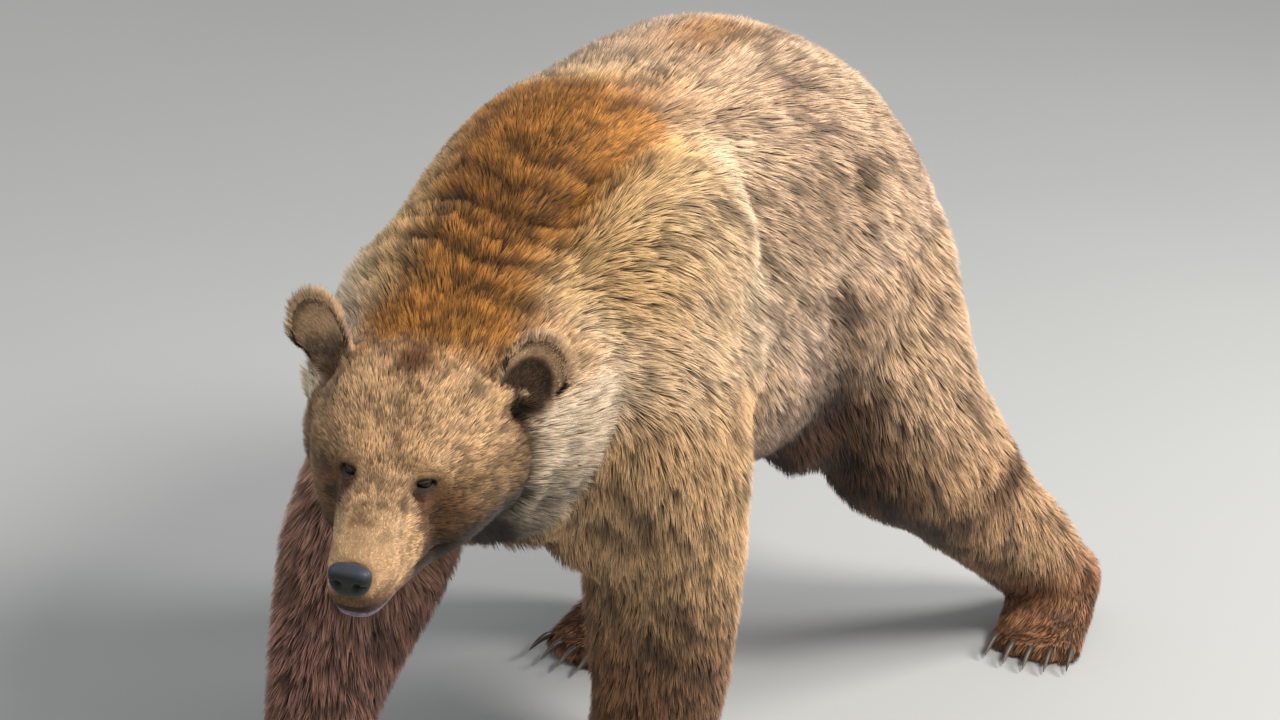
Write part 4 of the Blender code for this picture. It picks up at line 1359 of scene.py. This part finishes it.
def build_lids(side, skin, material):
    """The lids round an eye, and the fields from which the coat grows on them too."""
    bm = bmesh.new()
    bmesh.ops.create_grid(bm, x_segments=LID_STEPS[0], y_segments=LID_STEPS[1], size=1)
    bareness = bm.verts.layers.float.new("bare")
    for vert in bm.verts:
        angle = round((vert.co.x + 1) * math.pi, 6)
        out = (vert.co.y + 1) / 2
        vert.co = lid_point(side, skin, angle, out)
        out += 0.07 * min(0.0, math.sin(angle))
        vert[bareness] = max(0.0, min(1.0, (0.30 - out) / 0.18))
    bm.transform(EYES[side])
    bmesh.ops.remove_doubles(bm, verts=bm.verts, dist=1e-5)
    bmesh.ops.recalc_face_normals(bm, faces=bm.faces)
    look = EYES[side].to_3x3() @ Vector((0, 0, 1))
    if sum(f.normal.dot(look) for f in bm.faces) < 0:
        bmesh.ops.reverse_faces(bm, faces=bm.faces)
    bmesh.ops.triangulate(bm, faces=bm.faces)
    mesh = mesh_from(bm, f"lids_{side}")
    points, normals = places_of(mesh), normals_of(mesh)
    bare = np.empty(len(points))
    mesh.attributes["bare"].data.foreach_get("value", bare)
    pelt = head_pelt(points)
    growth = np.tile(GROWTH["eyelid"], (len(points), 1))
    growth[:, :WIDTH] *= (1 - 0.5 * smooth(0.0, 0.6, bare))[:, None]
    keep_hair(mesh, points, pelt, growth)
    piece(f"lids_{side}", mesh, material)
    lie = node_lie(points, normals, "head")
    return {"points": points, "normals": normals, "growth": growth, "pelt": pelt,
            "lie": unit(lie - normals * (lie * normals).sum(1)[:, None]),
            "home": np.full(len(points), FLESH.index("head")),
            "density": growth[:, DENSITY] * smooth(0.85, 0.45, bare), "triangles": triangles_of(mesh)}


def mound(aside, upward):
    """1 in the middle, falling off softly both ways."""
    return math.exp(-(aside ** 2 + upward ** 2))


def build_nose(material):
    """The broad bare nose with its comma-shaped nostrils and the groove below."""
    bm = bmesh.new()
    bmesh.ops.create_uvsphere(bm, u_segments=96, v_segments=64, radius=1.0)
    hollows, painted_sheen = [], []
    for vert in bm.verts:
        x, y, z = vert.co
        front = max(0.0, -y)
        wing = abs(x)
        pit = mound((wing - 0.46 - 0.10 * z) / 0.17, (z - 0.06) / 0.20)
        comma = mound((wing - 0.72) / 0.22, (z - 0.12 + 0.25 * (wing - 0.5)) / 0.085)
        hollow = min(1.0, max(pit, 0.75 * comma)) * (y < 0.15)
        groove = math.exp(-(x / 0.055) ** 2) * max(0.0, min(1.0, 0.35 - z)) * front
        flat = front * 0.30 * (1 - wing * wing) * (1 - z * z)
        round_off = (abs(x) ** 3 + abs(z) ** 3) ** (1 / 3) / max(math.hypot(x, z), 1e-6)
        x, z = x * (2 - round_off), z * (2 - round_off)
        bulge = 0.10 * mound((wing - 0.62) / 0.2, (z - 0.28) / 0.25)
        y += flat + 0.42 * hollow * front + 0.14 * groove - bulge
        x *= (1.0 + 0.16 * z) * (1.0 - 0.10 * max(0.0, -z - 0.4))
        vert.co = Vector((x * NOSE_SIZE.x, y * NOSE_SIZE.y, z * NOSE_SIZE.z))
        hollows.append(min(1.0, 1.5 * hollow * front))
        # how much painted sheen lies on each point, most on the top of the nose
        painted_sheen.append(max(0.0, min(1.0, 2.2 * (z - 0.36) - 1.2 * front ** 3)))
    bm.transform(HEAD @ Matrix.Translation(Vector(NOSE_PLACE)))
    mesh = mesh_from(bm, "nose_leather")
    keep_attribute(mesh, "hollow", "FLOAT", np.array(hollows))
    keep_attribute(mesh, "top", "FLOAT", np.array(painted_sheen))
    nose = piece("nose_leather", mesh, material)
    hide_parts("nose")


def lip_line(share):
    """A point of the lower lip, from its right end at 0 round the front to its left end at 1."""
    angle = (share - 0.5) * math.pi
    reach = abs(math.sin(angle))
    return Vector((math.sin(angle) * LIP_HALF, LIP_FRONT + (LIP_BACK - LIP_FRONT) * (1 - math.cos(angle)),
                   LIP_UP - LIP_DROP * reach ** 1.5))


def build_lip(skin, material):
    """The bare lower lip: a moist roll along the front of the mouth, thinner towards its ends."""
    bm = bmesh.new()
    bmesh.ops.create_grid(bm, x_segments=LIP_STEPS, y_segments=12, size=1)
    inner = HEAD @ Vector((0, -0.20, LIP_UP - 0.006))
    up = HEAD.to_3x3() @ Vector((0, 0, 1))
    for vert in bm.verts:
        share = round((vert.co.x + 1) / 2, 5)
        aim = HEAD @ lip_line(share)
        way = (inner - aim).normalized()
        hit = skin["tree"].ray_cast(aim - way * 0.03, way, 0.08)[0]
        centre = (hit or aim) + way * LIP_SINK
        thin = math.sin(math.pi * min(1.0, max(0.0, share))) ** 0.45
        turn = (vert.co.y + 1) * math.pi
        roll = up * math.sin(turn) * LIP_ROLL_UP - way * math.cos(turn) * LIP_ROLL_OUT
        vert.co = centre + roll * max(thin, 0.02)
    bmesh.ops.remove_doubles(bm, verts=bm.verts, dist=2e-5)
    bmesh.ops.holes_fill(bm, edges=[e for e in bm.edges if e.is_boundary], sides=0)
    bmesh.ops.recalc_face_normals(bm, faces=bm.faces)
    piece("lower_lip", mesh_from(bm, "lower_lip"), material)


def build_claws(material):
    """Each paw's claws, rounded from their solids."""
    for limb, side in product(("fore", "hind"), SIDES):
        bm = bmesh.new()
        names = [f"claw_{limb}_{side}_{toe}" for toe in range(1, 6)]
        for name in names:
            bm.from_mesh(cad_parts[name].data)
        bmesh.ops.remove_doubles(bm, verts=bm.verts, dist=1e-5)
        bmesh.ops.dissolve_limit(bm, angle_limit=0.02, verts=bm.verts, edges=bm.edges)
        front = min(v.co.y for v in bm.verts)
        reach = max(v.co.y for v in bm.verts) - front
        worn = [max(0.0, 1 - (v.co.y - front) / (WORN_REACH * reach)) * WORN_MOST for v in bm.verts]
        mesh = mesh_from(bm, f"claws_{limb}_{side}")
        keep_attribute(mesh, "worn", "FLOAT", np.array(worn))
        claws = piece(f"claws_{limb}_{side}", mesh, material)
        rounded = claws.modifiers.new("rounded", "SUBSURF")
        rounded.levels = 2
        rounded.render_levels = 2
        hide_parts(*names)


# ---------------------------------------------------------------- the studio

def build_floor():
    bm = bmesh.new()
    bmesh.ops.create_grid(bm, x_segments=8, y_segments=8, size=30)
    mesh = mesh_from(bm, "floor")
    made = Shader("studio_floor", Roughness=0.85)
    cloud = made.noise(made.place(), 0.8, 2.0)
    made.into("Base Color", made.blend(cloud, (0.47, 0.47, 0.455, 1), (0.53, 0.53, 0.515, 1)))
    mesh.materials.append(made.material)
    shown("floor", mesh)


def area_light(name, place, aim, size, power, colour):
    lamp = bpy.data.lights.new(name, "AREA")
    lamp.shape = "DISK"
    lamp.size = size
    lamp.energy = power
    lamp.color = colour
    obj = shown(name, lamp)
    obj.location = place
    obj.rotation_euler = (Vector(aim) - Vector(place)).to_track_quat("-Z", "Y").to_euler()


def build_studio():
    build_floor()
    world = bpy.data.worlds.new("studio")
    world.use_nodes = True
    world.node_tree.nodes["Background"].inputs["Color"].default_value = (0.93, 0.96, 1.0, 1)
    world.node_tree.nodes["Background"].inputs["Strength"].default_value = 0.42
    bpy.context.scene.world = world
    bpy.context.scene.view_settings.view_transform = "Standard"
    area_light("key", (2.7, -0.9, 3.7), (0, -0.05, 0.55), 1.2, 170, (1.0, 0.97, 0.93))
    area_light("fill", (-2.6, -2.4, 2.6), (0, -0.2, 0.5), 2.4, 30, (0.95, 0.97, 1.0))
    area_light("rim", (2.6, 2.8, 2.8), (0, 0.2, 0.7), 1.4, 130, (1.0, 0.99, 0.97))


def build_camera():
    back = Vector((math.sin(AZIMUTH) * math.cos(ELEVATION), -math.cos(AZIMUTH) * math.cos(ELEVATION),
                   math.sin(ELEVATION)))
    right = Vector((math.cos(AZIMUTH), math.sin(AZIMUTH), 0))
    up = back.cross(right)
    rolled_right = right * math.cos(ROLL) + up * math.sin(ROLL)
    rolled_up = up * math.cos(ROLL) - right * math.sin(ROLL)
    lens = bpy.data.cameras.new("camera")
    lens.lens = LENS
    lens.sensor_width = 36
    obj = shown("camera", lens)
    turn = Matrix((rolled_right, rolled_up, back)).transposed().to_4x4()
    obj.matrix_world = Matrix.Translation(AIM + back * DISTANCE) @ turn
    bpy.context.scene.camera = obj


# ---------------------------------------------------------------- the bear

def main():
    build_studio()
    build_camera()
    skin = build_skin()
    hide = skin_material("hide")
    finish_skin(skin, hide)
    lids = [build_lids(side, skin, hide) for side in SIDES]
    build_coat(skin, lids, fur_material("fur"))
    eye = eye_material("eye")
    for side in SIDES:
        build_eye(side, eye)
    build_nose(nose_material("nose_leather"))
    build_lip(skin, lip_material("lip"))
    build_claws(claw_material("horn"))


main()
